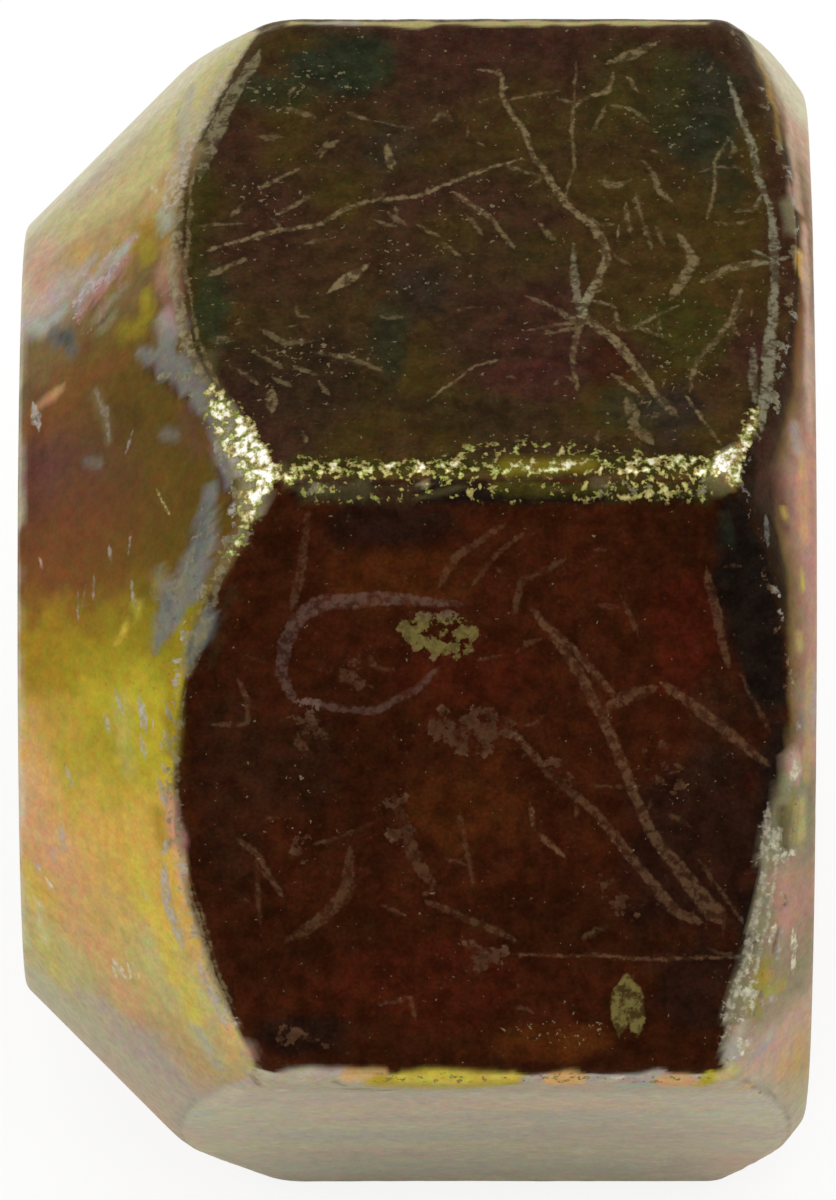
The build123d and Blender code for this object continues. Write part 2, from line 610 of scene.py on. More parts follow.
# Colour laid in strokes elsewhere: points as (x, degrees), width in mm or widths from start to end, shade,
# strength, softness in mm
strokes = [
    # seat, towards the top
    ([(-9.1, 60), (-8.1, 69.5), (-7.1, 74), (-6.4, 75), (-5.8, 71)], (1, 0.9), "straw", 0.8, 0.5),
    ([(-8.7, 69), (-7.6, 75), (-6.7, 77.5)], (0.5, 0.6), "sand", 0.7, 0.4),
    ([(-9.4, 62), (-9.35, 72), (-9.35, 82)], (0.5, 0.7), "salmon", 0.3, 0.4),
    ([(-8.9, 76), (-7.85, 78.5), (-6.8, 81), (-6.1, 80), (-5.6, 76)], (0.6, 0.7, 0.5), "tan", 0.75, 0.35),
    ([(-8.6, 75.5), (-8, 79.5)], 0.4, "orangeTan", 0.7, 0.3),
    ([(-9.2, 76), (-6, 79)], 1.2, "umber", 0.22, 0.6),
    ([(-9.2, 149), (-6.3, 149)], 1.6, "olive", 0.16, 0.6),
    ([(-5.6, 135), (-5.65, 138)], 0.3, "greyOlive", 0.7, 0.15),
    ([(-5.95, 68), (-5.75, 76), (-5.9, 83)], (0.3, 0.35), "rust", 0.5, 0.2),
    ([(-5.6, 63), (-5.75, 70), (-5.8, 78)], (0.3, 0.2), "greyTeal", 0.7, 0.15),
    ([(-6.3, 83), (-6, 86.5)], 0.45, "greyTeal", 0.7, 0.2),
    ([(-8.7, 85), (-8.3, 83.4), (-7.9, 82.6)], (0.3, 0.4), "lilac", 0.7, 0.25),
    ([(-8.3, 89.4), (-7.85, 87), (-7.35, 85.2), (-6.85, 84.2)], (0.5, 1, 0.9, 0.4), "lilac", 0.6, 0.2),
    ([(-7.4, 85.6), (-7, 84.8)], (0.4, 0.3), "greyTeal", 0.8, 0.1),
    ([(-8, 88.2), (-7.65, 86.6)], (0.3, 0.4), "dustyRose", 0.6, 0.15),
    ([(-8.35, 91), (-7.9, 89.8), (-7.4, 88.2), (-7, 87)], (0.3, 0.7, 0.5), "dustyRose", 0.8, 0.12),
    ([(-8.15, 91), (-7.7, 89.6)], (0.1, 0.12), "wine", 0.8, 0.06),
    ([(-7.95, 91.6), (-7.5, 90), (-7.2, 88.8)], (0.1, 0.12), "wine", 0.8, 0.06),
    ([(-7.75, 88.6), (-7.3, 87)], (0.08, 0.1), "wine", 0.6, 0.06),
    ([(-7.9, 93.4), (-7.4, 92), (-6.95, 91)], (0.4, 0.5, 0.3), "greyOlive", 0.85, 0.12),
    ([(-7.75, 95.4), (-7.3, 94.4)], 0.4, "greyOlive", 0.75, 0.12),
    ([(-7.6, 93.4), (-7.2, 92.2)], (0.08, 0.1), "maroon", 0.7, 0.06),
    ([(-7.85, 94.8), (-7.45, 93.8)], (0.08, 0.1), "maroon", 0.7, 0.06),
    ([(-8.2, 95.6), (-8, 97.4)], (0.5, 0.4), "rustWine", 0.7, 0.15),
    ([(-9.5, 86.5), (-9, 88.5), (-8.6, 88)], 0.45, "greyTeal", 0.8, 0.2),
    ([(-9, 90.5), (-8.65, 92.5), (-8.35, 96)], (0.45, 0.6, 0.3), "slate", 0.85, 0.12),
    ([(-8.75, 92), (-8.5, 94)], (0.25, 0.3), "greenBlack", 0.7, 0.12),
    ([(-6.65, 86.5), (-6.5, 89.6)], 0.5, "mustard", 0.85, 0.15),
    ([(-6.7, 94.2), (-6.5, 97.4)], (0.5, 0.4), "mustard", 0.85, 0.15),
    ([(-7.3, 96.6), (-6.95, 98.4), (-6.6, 99)], (0.5, 0.7, 0.4), "mustard", 0.6, 0.2),
    ([(-6.3, 92), (-6, 96), (-6, 99.5)], (0.3, 0.5, 0.4), "dustyRose", 0.7, 0.2),
    ([(-6.1, 96), (-5.8, 100)], (0.5, 0.4), "wine", 0.45, 0.25),
    ([(-6.2, 88.5), (-5.9, 93)], (0.3, 0.35), "salmon", 0.45, 0.25),
    ([(-6.2, 98.5), (-5.95, 101.5)], (0.5, 0.6), "lilac", 0.55, 0.25),
    ([(-8.9, 98.3), (-7.8, 101), (-6.9, 101.5)], 0.6, "rust", 0.7, 0.3),
    ([(-9.4, 102.3), (-9, 101.6), (-8.7, 101.2)], (0.26, 0.2), "salmon", 0.7, 0.12),
    ([(-9.6, 97), (-9.3, 100), (-9.4, 108), (-9.4, 118)], (0.4, 0.5), "wineDark", 0.45, 0.3),
    ([(-9.4, 120), (-9.45, 130)], 0.4, "rust", 0.5, 0.25),
    ([(-6.6, 104.2), (-6.2, 105.4), (-5.65, 108.8), (-5.2, 113)], (0.12, 0.3, 0.2), "maroon", 0.85, 0.15),
    ([(-5.6, 111), (-5.2, 115.5)], 0.7, "wine", 0.5, 0.3),
    ([(-7.5, 108), (-6.6, 110)], (0.9, 0.8), "goldBrown", 0.55, 0.4),
    ([(-6.4, 116), (-5.6, 120)], (0.8, 0.6), "olive", 0.4, 0.4),
    ([(-6.2, 112.6), (-5.65, 113.6)], (0.3, 0.25), "steel", 0.55, 0.15),
    ([(-8.1, 113), (-7.6, 113.8)], (0.22, 0.28), "steel", 0.55, 0.15),
    ([(-7.9, 104), (-7.6, 107), (-7.5, 111)], (0.2, 0.26), "scuff", 0.55, 0.12),
    ([(-8.6, 127.5), (-7.6, 129.5), (-6.9, 128.5)], 0.5, "rust", 0.55, 0.35),
    ([(-5.55, 130), (-5.9, 134), (-6, 140), (-6.05, 147)], (0.35, 0.4), "mustard", 0.85, 0.2),
    ([(-7.3, 135.6), (-6.9, 133.4), (-6.75, 131.3)], (0.1, 0.16), "gold", 0.7, 0.08),
    ([(-5.85, 129.5), (-5.75, 131.5)], 0.1, "gold", 0.7, 0.08),
    ([(-8.9, 139.5), (-8, 139.8), (-7.2, 138.8)], (0.12, 0.2, 0.1), "mustard", 0.7, 0.12),
    ([(-8.7, 142), (-8.1, 142.4)], (0.2, 0.12), "mustard", 0.8, 0.1),
    ([(-8.9, 137.5), (-7.9, 137)], 0.14, "mustard", 0.6, 0.12),
    ([(-7.2, 142), (-7, 150)], 0.5, "straw", 0.3, 0.3),
    ([(-9.45, 146), (-9.4, 154), (-9.4, 168)], 0.35, "salmon", 0.45, 0.2),
    ([(-8.6, 151), (-8.3, 158)], (0.9, 0.5), "yellow", 0.7, 0.4),
    ([(-8.9, 160), (-7.6, 160.5), (-6.4, 156)], 0.9, "orangeTan", 0.55, 0.5),
    ([(-6.05, 152), (-5.8, 157)], 0.3, "pink", 0.7, 0.15),
    ([(-6.2, 157.5), (-6.35, 154)], (0.4, 0.3), "honey", 0.7, 0.2),
    ([(-9, 164), (-7.9, 176), (-6.8, 184)], (1, 1.3), "salmon", 0.7, 0.5),
    ([(-7, 160), (-6.4, 166.5), (-5.7, 174), (-5.2, 179)], (0.4, 0.85, 0.6), "gold", 0.85, 0.35),
    ([(-6.6, 170), (-5.9, 178)], (0.4, 0.5), "straw", 0.6, 0.3),
    ([(-5.85, 158), (-5.45, 168), (-5.1, 172)], (0.25, 0.35, 0.2), "peach", 0.85, 0.12),
    ([(-9.5, 172), (-9.2, 184), (-8.8, 192)], (0.5, 0.6), "gold", 0.45, 0.3),
    ([(-9.4, 178), (-9.2, 184)], 0.14, "cream", 0.6, 0.1),
    ([(-5.35, 179.5), (-4.7, 183)], 0.6, "greyTeal", 0.7, 0.25),
    ([(-4.65, 175.5), (-4.45, 179.5)], (0.35, 0.4), "peach", 0.8, 0.2),
    ([(-4.15, 177.4), (-4.05, 178.6)], 0.3, "blush", 0.5, 0.2),
    ([(-8.4, 193), (-7.2, 190)], (0.5, 0.6), "lilac", 0.5, 0.4),
    ([(-8, 200), (-6.4, 200)], 0.7, "greenCream", 0.6, 0.4),
    ([(-9.78, 45), (-9.78, 90), (-9.78, 135), (-9.78, 180), (-9.78, 215)], 0.1, "cream", 0.55, 0.1),
    # smears of bared steel beside the knuckle
    ([(-6.85, 101.4), (-6.3, 103), (-5.85, 105.3), (-5.4, 108.4), (-5.05, 111.6), (-4.85, 114)],
     (0.15, 0.6, 0.75, 0.7, 0.6, 0.5), "steel", 0.85, 0.12),
    ([(-6.1, 100.6), (-5.95, 103)], (0.25, 0.5), "steel", 0.7, 0.12),
    ([(-5, 119.5), (-5.1, 122), (-5.2, 125.3), (-5.85, 129.7), (-6.1, 132.9), (-6.5, 136)],
     (0.4, 0.8, 1.05, 1.1, 0.85, 0.3), "steel", 0.9, 0.1),
    ([(-5.15, 121.6), (-5.3, 124.6), (-5.5, 127)], (0.4, 0.65, 0.3), "slate", 0.8, 0.15),
    ([(-5.95, 129.6), (-6.1, 131.6)], (0.3, 0.35), "slate", 0.7, 0.12),
    ([(-6.25, 127.4), (-6.2, 129)], (0.4, 0.45), "greyOlive", 0.6, 0.15),
    ([(-5.05, 132.2), (-5.3, 134.4), (-5.6, 136.8)], (0.5, 0.66, 0.3), "slate", 0.95, 0.08),
    ([(-5.1, 133), (-5.35, 135)], (0.3, 0.35), "greyOlive", 0.6, 0.12),
    ([(-4.5, 130), (-4.8, 134), (-5, 138)], (0.16, 0.2, 0.12), "brown", 0.8, 0.1),
    # knuckle where the two front flats meet the seat: bared steel, its paler strokes a painted highlight
    # under the glints of the sparkle list
    ([(-5, 105), (-5, 108), (-4.6, 111), (-4.4, 113.5)], (0.2, 0.25, 0.35), "edgeOlive", 0.8, 0.12),
    ([(-4.7, 111.6), (-4.35, 115), (-4, 118.2), (-3.9, 120), (-4.15, 122.4)],
     (0.5, 1, 0.9), "crust", 1, 0.12),
    ([(-4.95, 113.2), (-4.8, 116.6), (-4.5, 120.2)], (0.4, 0.45, 0.4), "steel", 0.9, 0.12),
    ([(-4.7, 113.6), (-4.5, 116.4), (-4.25, 119)], (0.3, 0.5, 0.4), "paleSteel", 0.8, 0.15),
    ([(-3.3, 118.9), (-2.95, 120.2)], 0.5, "edgeOlive", 1, 0.15),
    ([(-5.15, 112.6), (-5.05, 114.4), (-4.95, 116.6)], (0.25, 0.3), "wine", 0.7, 0.1),
    ([(-4.85, 118.2), (-4.6, 120.4), (-4.45, 121.6)], (0.25, 0.3), "maroon", 0.85, 0.1),
    ([(-4.15, 123), (-4.45, 125), (-4.75, 127)], (0.5, 0.45), "umber", 0.9, 0.12),
    ([(-4.75, 127), (-5.05, 129.6)], (0.3, 0.25), "umber", 0.8, 0.1),
    ([(-4.55, 126.4), (-4.65, 127.4)], 0.25, "umber", 0.9, 0.1),
    # long edge between the front flats: its dark olive and black rows are painted dark reflection, under the
    # glints of the sparkle list
    ([(-3, 118.7), (0, 118.7), (4, 118.6), (7.2, 118.7)], (0.5, 0.55), "deepOlive", 0.85, 0.15),
    ([(2.2, 118.4), (4.3, 118.4)], 0.5, "mustard", 0.6, 0.15),
    ([(-2.9, 120.9), (0, 121), (4, 121), (7, 121)], (0.55, 0.6), "black", 0.95, 0.1),
    ([(-2.8, 121), (-1.2, 121)], 0.45, "edgeOlive", 0.45, 0.15),
    ([(-0.9, 121.2), (0, 121.2)], 0.5, "brown", 0.7, 0.15),
    ([(0.15, 120.3), (0.3, 120.3)], 0.16, "greyOlive", 0.8, 0.06),
    ([(0, 121.6), (0.6, 121.1), (1.2, 120.5)], (0.05, 0.08, 0.04), "edgeOlive", 0.5, 0.05),
    ([(1.9, 120.6), (3, 120.8), (4.3, 120.7)], (0.35, 0.4), "deepOlive", 0.9, 0.12),
    ([(3.3, 120.8), (3.7, 120.8)], (0.14, 0.16), "edgeOlive", 0.8, 0.08),
    ([(4.4, 120.2), (4.7, 120.6)], (0.4, 0.3), "edgeOlive", 0.7, 0.12),
    ([(4.7, 120.9), (6.3, 121), (7.1, 121)], (0.5, 0.55), "deepOlive", 0.7, 0.15),
    # knuckle at the chamfer: its apricot, peach and pale strokes along the ridge are a painted highlight,
    # with dark strokes beside it
    ([(8.4, 112.2), (8.15, 114.4), (7.95, 116.4), (7.78, 118.4), (7.7, 120.6)],
     (0.2, 0.26, 0.3, 0.26), "umber", 1, 0.08),
    ([(7.95, 116.2), (7.85, 117.4)], (0.2, 0.24), "apricot", 1, 0.08),
    ([(7.75, 118.6), (7.7, 120)], 0.2, "peach", 1, 0.08),
    ([(7.7, 116.8), (7.55, 118), (7.35, 118.8)], (0.2, 0.3, 0.35), "greyBeige", 1, 0.1),
    ([(7.2, 119.6), (7.45, 120.8)], 0.4, "edgeOlive", 1, 0.15),
    ([(8.2, 116), (8.15, 119), (8.1, 121.4)], (0.4, 0.5, 0.5), "darkBrown", 1, 0.1),
    ([(7.7, 122), (7.85, 123.6), (8.1, 126), (8.5, 130)], (0.5, 0.7, 0.8), "black", 1, 0.15),
    ([(7.5, 123), (7.7, 125.6)], (0.2, 0.25), "greenBlack", 0.6, 0.12),
    # chamfer
    ([(8.4, 60), (8.75, 64), (8.95, 69), (9.1, 75)], 0.2, "orangeTan", 0.45, 0.12),
    ([(9.3, 68), (9.45, 78), (9.5, 84)], (0.4, 0.3), "blush", 0.8, 0.15),
    ([(9.2, 84), (9.35, 88)], 0.35, "greyOlive", 0.8, 0.12),
    ([(9.5, 90.5), (9.55, 94)], 0.16, "orangeTan", 0.9, 0.08),
    ([(9.65, 86), (9.65, 110)], 0.3, "blush", 0.9, 0.12),
    ([(9.3, 112.5), (9.35, 115)], 0.4, "lilac", 0.6, 0.2),
    ([(8.8, 118), (8.95, 121), (9.1, 123.5)], (0.3, 0.4), "wine", 0.7, 0.15),
    ([(9, 121.5), (9.15, 122.5)], 0.14, "gold", 0.9, 0.08),
    ([(9.45, 115.5), (9.5, 120), (9.5, 124)], 0.3, "salmon", 0.8, 0.15),
    ([(9.4, 127.4), (9.5, 129.4)], 0.16, "gold", 0.8, 0.08),
    ([(9.35, 134.2), (9.5, 136)], 0.3, "tan", 0.8, 0.12),
    ([(9.6, 137), (9.6, 150)], 0.25, "tan", 0.7, 0.12),
    ([(9.25, 147), (9.4, 149.5)], 0.4, "blush", 0.8, 0.12),
    ([(9.3, 151.5), (9.4, 156.5)], 0.4, "mustard", 0.4, 0.2),
    ([(9.5, 152.5), (9.5, 156.5)], 0.3, "sand", 0.7, 0.15),
    ([(8.5, 170.5), (8.9, 172.5), (9.2, 173.5)], (0.4, 0.5), "yellow", 0.6, 0.25),
    ([(8.4, 173.5), (8.5, 175)], 0.35, "mustard", 0.6, 0.2),
    ([(9.1, 184), (9, 188)], 0.4, "salmon", 0.7, 0.25),
    ([(9.5, 184), (9.5, 190)], 0.3, "orangeTan", 0.5, 0.2),
    ([(8.5, 180), (8.9, 178.5)], 0.5, "lilac", 0.7, 0.2),
    ([(8, 184), (8.5, 185)], 0.4, "peach", 0.6, 0.25),
    # crust at the lower right of the middle flat
    ([(8.85, 152.5), (8.7, 156), (8.62, 160)], (0.2, 0.3, 0.25), "greyOlive", 0.8, 0.08),
    ([(9, 153), (8.95, 157.6)], (0.3, 0.4), "edgeOlive", 0.9, 0.1),
    ([(8.62, 158), (8.5, 163), (8.4, 166)], (0.35, 0.45, 0.4), "crust", 0.9, 0.1),
    ([(8.9, 160), (8.95, 163)], 0.4, "rose", 0.6, 0.12),
    ([(8.3, 168), (8.05, 172), (7.8, 175)], (0.35, 0.45, 0.4), "greyOlive", 0.8, 0.12),
    ([(8.6, 169), (8.3, 174)], (0.3, 0.4), "mustard", 0.5, 0.15),
    ([(8, 175.5), (7.7, 178.5)], 0.4, "greyBeige", 0.9, 0.12),
    # long edge above the low flat: worn plating, its bright yellow, gold and peach strokes partly a painted
    # highlight
    ([(-3.2, 181), (-1.8, 181)], 1.1, "greyBeige", 1, 0.15),
    ([(-2.4, 183.4), (-0.6, 184.6)], (0.16, 0.12), "greyOlive", 0.9, 0.08),
    ([(-1.7, 180), (-0.8, 180)], (0.6, 0.5), "peach", 0.8, 0.12),
    ([(-1, 181.4), (0, 181.8), (1.4, 181.8), (2.7, 180.6)], (0.8, 1.15, 1.15, 0.5), "yellow", 1, 0.12),
    ([(-0.3, 180.4), (2.4, 180.2)], 0.5, "gold", 0.8, 0.15),
    ([(1.6, 184), (3.2, 183)], 0.5, "greyBeige", 0.9, 0.12),
    ([(2.7, 181), (3.3, 181)], 0.6, "greyRose", 1, 0.12),
    ([(3.35, 180.9), (4.05, 180.7)], (0.6, 0.5), "peach", 1, 0.15),
    ([(3.7, 183), (4.9, 182.8)], 0.5, "blush", 0.9, 0.12),
    ([(4.3, 180.7), (5.6, 180.6), (6.1, 180.2)], (0.5, 0.6), "greyRose", 1, 0.12),
    ([(5.1, 182.6), (5.9, 182.2)], 0.7, "greyTeal", 0.9, 0.1),
    ([(6.15, 181.2), (6.7, 181.4)], (0.8, 0.9), "salmon", 1, 0.15),
    ([(7, 182.4), (7.15, 181), (7.3, 179.6)], (0.35, 0.55, 0.4), "yellow", 1, 0.08),
    ([(7.5, 180), (7.9, 180)], 0.5, "sand", 0.9, 0.15),
    # far long edge
    ([(-3.2, 60.4), (0, 60.6), (3, 60.6), (7.2, 60.4)], (0.3, 0.26), "sand", 0.9, 0.08),
    ([(-2.6, 60.6), (-1.4, 60.6)], 0.3, "paleSteel", 0.9, 0.1),
]
for points, widths, shade, strength, soft in strokes:
    lay(linear(shades[shade]), strength * strokeCover(points, widths, uneven=0.1, start=-soft, end=soft))

# The low flat: soft bands along it, and a little lighter all over as a painted reflection of the pale floor
bands = softNoise(outerPoints * (0.22, 1, 1), 1.15, 6.2)
hues = softNoise(outerPoints * (0.35, 1, 1), 2.1, 3.3)
lowFlat = onFlats * (side == 3) * ease(across, -6.6, -5.6)
for shade, field, start, strength in (
    ("greenCream", bands, 0.0, 0.7),
    ("greyRose", -bands, 0.0, 0.8),
    ("blush", hues, 0.1, 0.7),
    ("greyTeal", -hues, 0.1, 0.6),
):
    lay(linear(shades[shade]), lowFlat * ease(field, start, 0.5) * strength)
lay(linear(shades["white"]), lowFlat * 0.13)
print("film painted")

# Bare metal, 0 to 1, for the worn borders, and sparkle, 0 to 1, a painted highlight along the long edges
bare = np.zeros_like(chartX)
shine = np.zeros_like(chartX)
scar = np.zeros_like(film) + linear(shades["scuff"])
lay(linear(shades["wornBrown"]), onFlats * (side == 2), scar)


def keepMost(field, value):
    np.maximum(field, value, out=field)


# Bands of plain wear, and sparkle as a painted highlight along the long edges. On the sides in view, painted
# keeps them off: the long edges and knuckles there have strokes and sparkle of their own.
seatBand = bell(pastSeat + 0.12, 0.26)
chamferBand = bell(pastChamfer + 0.05, 0.2)
edgeBand = bell(fromEdge, 0.5) * ease(pastSeat, -0.6, 0.6) * ease(-pastChamfer, -0.2, 0.5)
fromCorner = degreesFromCorner(angle)
seatKnuckle = bell(fromCorner, 5) * bell(pastSeat + 0.3, 1.1)
chamferKnuckle = bell(fromCorner, 3.5) * bell(pastChamfer - 0.1, 0.7)
painted = np.isin(side, (0, 1, 2, 3)) * ease(girth, sideGirth(0, 6), sideGirth(0, 7))
painted = painted * ease(-girth, -sideGirth(3, -5), -sideGirth(3, -6))
keepMost(bare, 0.5 * seatBand)
keepMost(bare, 0.4 * chamferBand)
keepMost(bare, (0.5 * seatKnuckle + 0.45 * chamferKnuckle) * (1 - painted))
keepMost(shine, edgeBand * (0.42 - 0.42 * painted))
lay(linear(shades["paleSteel"]), 1 - onFlats, scar)

# Sparkle, painted highlights: points as (x, degrees), width or widths, strength
sparkles = [
    # along the long edge between the front flats, with its brighter places
    ([(-2.9, 118.8), (0.8, 118.7), (5.2, 118.6), (7.2, 118.7)], (0.55, 0.5, 0.5, 0.6), 0.47),
    ([(-2.3, 118.6), (-1.6, 118.6)], 0.34, 0.72),
    ([(-0.65, 118.5), (-0.45, 118.5)], 0.34, 0.72),
    ([(-0.1, 118.7), (0.2, 118.7)], 0.4, 0.95),
    ([(0.7, 118.6), (0.85, 118.6)], 0.3, 0.75),
    ([(2.1, 118.5), (2.9, 118.6), (3.7, 118.5)], (0.4, 0.5, 0.4), 0.7),
    ([(4.3, 118.2), (4.5, 118.6)], (0.2, 0.3), 0.75),
    ([(5.2, 118.5), (6, 118.6), (7, 118.6)], (0.45, 0.55, 0.6), 0.7),
    ([(1.2, 116.9), (2.6, 116.7), (4.2, 116.9), (5.4, 116.8)], (0.3, 0.4, 0.4, 0.3), 0.4),
    ([(-2.8, 121), (1, 121), (4.4, 120.9)], 0.5, 0.26),
    ([(4.8, 120.8), (6, 121), (7, 121)], (0.5, 0.6, 0.5), 0.42),
    # on its knuckles
    ([(-5, 109.4), (-4.8, 112), (-4.5, 114), (-4.15, 116.4), (-3.9, 118.6)], (0.4, 0.95, 1.15, 1.15), 0.78),
    ([(-4.3, 113.6), (-3.95, 117), (-3.65, 119.4), (-3.95, 121.2)], (0.5, 0.7, 0.8, 0.5), 1.08),
    ([(-4.1, 121.2), (-4.1, 122.8)], (0.6, 0.5), 0.8),
    ([(-3.5, 119.4), (-2.9, 119.6)], (0.6, 0.5), 0.68),
    ([(-4.1, 122.6), (-4.4, 125), (-4.7, 127)], (0.6, 0.5, 0.4), 0.5),
    ([(8.3, 112.4), (8, 116), (7.75, 118.4), (7.7, 120)], (0.25, 0.3, 0.35, 0.3), 0.85),
    ([(7.5, 117.2), (7.4, 118.8)], (0.35, 0.4), 1.15),
    # over the low flat
    ([(-1, 180.4), (7.2, 180.6)], 0.3, 0.25),
]
for points, widths, strength in sparkles:
    keepMost(shine, strength * strokeCover(points, widths, uneven=0.08, start=-0.16, end=0.1))

# Bared metal in smears: points as (x, degrees), width or widths, share, shade
smears = [
    ([(-6.6, 102), (-5.85, 105.3), (-5.4, 108.4), (-4.9, 113)], (0.3, 0.6, 0.6, 0.5), 0.36, "greyOlive"),
    ([(-5.1, 121), (-5.2, 125.3), (-5.85, 129.7), (-6.3, 134.6)], (0.6, 0.9, 0.9, 0.5), 0.36, "slate"),
    ([(-5.2, 133), (-5.5, 136)], (0.5, 0.4), 0.36, "greyOlive"),
    ([(-4.1, 122.6), (-4.5, 125.4), (-4.8, 127.4)], (0.6, 0.6, 0.5), 0.55, "crust"),
    ([(-4.9, 113), (-4.6, 117), (-4.3, 120.6)], (0.5, 0.6, 0.6), 0.5, "crust"),
    ([(-5.95, 66), (-5.6, 61)], (0.5, 0.6), 0.5, "paleSteel"),
    ([(-8.4, 90), (-7.7, 86.6), (-6.8, 84)], (0.9, 1.3, 0.9), 0.5, "lilac"),
    ([(-8.2, 93), (-7.4, 91), (-7, 88)], (0.8, 1, 0.7), 0.42, "dustyRose"),
    ([(-9.4, 87), (-8.9, 90)], (0.4, 0.5), 0.4, "greyTeal"),
    ([(8.75, 101), (8.85, 108), (8.7, 112)], (0.3, 0.5, 0.4), 0.5, "crust"),
    ([(8.7, 153), (8.5, 164), (8.1, 171), (7.6, 178)], (0.4, 0.6, 0.7, 0.6), 0.34, "crust"),
    ([(4.6, 120.8), (7, 121)], (0.5, 0.6), 0.36, "crust"),
    ([(-2.6, 121), (-1.4, 121)], 0.4, 0.35, "crust"),
    # gilt crust and smudges on the middle flat
    ([(-0.2, 133.4), (0.6, 134.6), (1.2, 134.4)], (0.7, 1.3, 1.1), 0.66, "gilt"),
    ([(0.7, 144.2), (1.6, 144.4), (2.3, 143.6)], (1.2, 1.3, 0.6), 0.62, "smudge"),
    ([(-2.7, 141.4), (-2.5, 146)], (0.8, 0.9), 0.5, "smudge"),
    ([(-0.6, 152), (-0.3, 156)], (0.7, 0.8), 0.5, "smudge"),
    ([(-2.9, 156.4), (-2.7, 158)], 0.6, 0.5, "smudge"),
    ([(-1.6, 139), (-1.2, 137)], (0.9, 0.7), 0.42, "smudge"),
    ([(3.4, 148), (3.6, 151)], 0.6, 0.45, "smudge"),
    ([(1.5, 169), (2.2, 168.4)], (0.7, 0.5), 0.55, "smudge"),
    ([(5.6, 146), (6.4, 150)], (0.9, 0.8), 0.42, "smudge"),
    ([(4.4, 160), (5.2, 164)], 0.8, 0.4, "smudge"),
    ([(-3.3, 176), (-2.2, 177)], 0.5, 0.5, "smudge"),
]
for points, widths, share, shade in smears:
    weight = strokeCover(points, widths, uneven=0.08, start=-0.15, end=0.1)
    keepMost(bare, share * weight)
    lay(linear(shades[shade]), weight, scar)

# Fine specks on the flats: a share for each side, then where they gather, as side, x, s, reach along and
# across, share
speckShares = (0.5, 0.35, 0.12, 0.1, 0.5, 0.5)
speckles = onFlats * np.choose(side.astype(int), speckShares)
speckPatches = [
    (1, -2.6, -5.2, 1.6, 1, 1),
    (1, -3.6, -2, 1, 1.2, 0.8),
    (1, -2.2, 3.8, 1.8, 0.8, 1),
    (1, -3.6, 5, 0.6, 0.6, 0.8),
    (1, 1.2, -1.4, 1.4, 1, 0.9),
    (1, 3.2, 6.3, 3.4, 0.4, 0.6),
    (1, 0.2, 0.8, 1.6, 1.4, 0.7),
    (1, 6.2, 3, 1.6, 2.2, 0.7),
    (1, 6.6, -4.6, 1.4, 1.6, 0.7),
    (2, 3.2, 6.5, 1.6, 0.4, 1),
    (2, -3, 1, 1.2, 1.6, 0.5),
    (2, 6.4, 0.6, 1.6, 1.4, 0.4),
]
for number, x, s, reachX, reachS, share in speckPatches:
    keepMost(speckles, share * near(x, sideGirth(number, s), reachX, reachS) * onFlats * (side == number))

# Ropes of pushed-up plating beside the seat's and the chamfer's borders: side, border, start and end of
# s, distance past the border, width, tone, shade
ropes = [
    (1, "seat", -6.5, 4.4, -0.04, 0.28, 0.9, "crust"),
    (1, "seat", -5.6, 5.4, 0.26, 0.1, 0.7, "scuff"),
    (1, "seat", -6.8, -1.6, -0.36, 0.4, 0.7, "greyBeige"),
    (1, "seat", -6.6, -2.2, 0.46, 0.36, 0.7, "greyOlive"),
    (2, "seat", -5.9, -2.9, 0.16, 0.3, 0.5, "greyOlive"),
    (2, "seat", -2.4, 2.4, 0.08, 0.14, 0.45, "greyOlive"),
    (2, "seat", 2.2, 6.3, -0.04, 0.24, 0.75, "paleSteel"),
    (2, "seat", 2.6, 6, 0.16, 0.1, 0.5, "scuff"),
    (2, "chamfer", 0.6, 6.6, -0.72, 0.2, 0.6, "greyBeige"),
    (2, "chamfer", 1.2, 6.2, -0.4, 0.1, 0.4, "cream"),
    (0, "seat", -6, 6, 0.1, 0.16, 0.6, "scuff"),
    (3, "seat", -6.8, 6.4, -0.1, 0.16, 0.35, "paleSteel"),
    (4, "seat", -6, 6, 0.05, 0.2, 0.6, "paleSteel"),
    (5, "seat", -6, 6, 0.1, 0.16, 0.6, "scuff"),
    (0, "chamfer", -6, 6, -0.4, 0.16, 0.6, "crust"),
    (3, "chamfer", -5, 6, -0.3, 0.16, 0.3, "paleSteel"),
    (4, "chamfer", -6, 6, -0.5, 0.16, 0.6, "crust"),
    (5, "chamfer", -6, 6, -0.3, 0.16, 0.6, "scuff"),
]

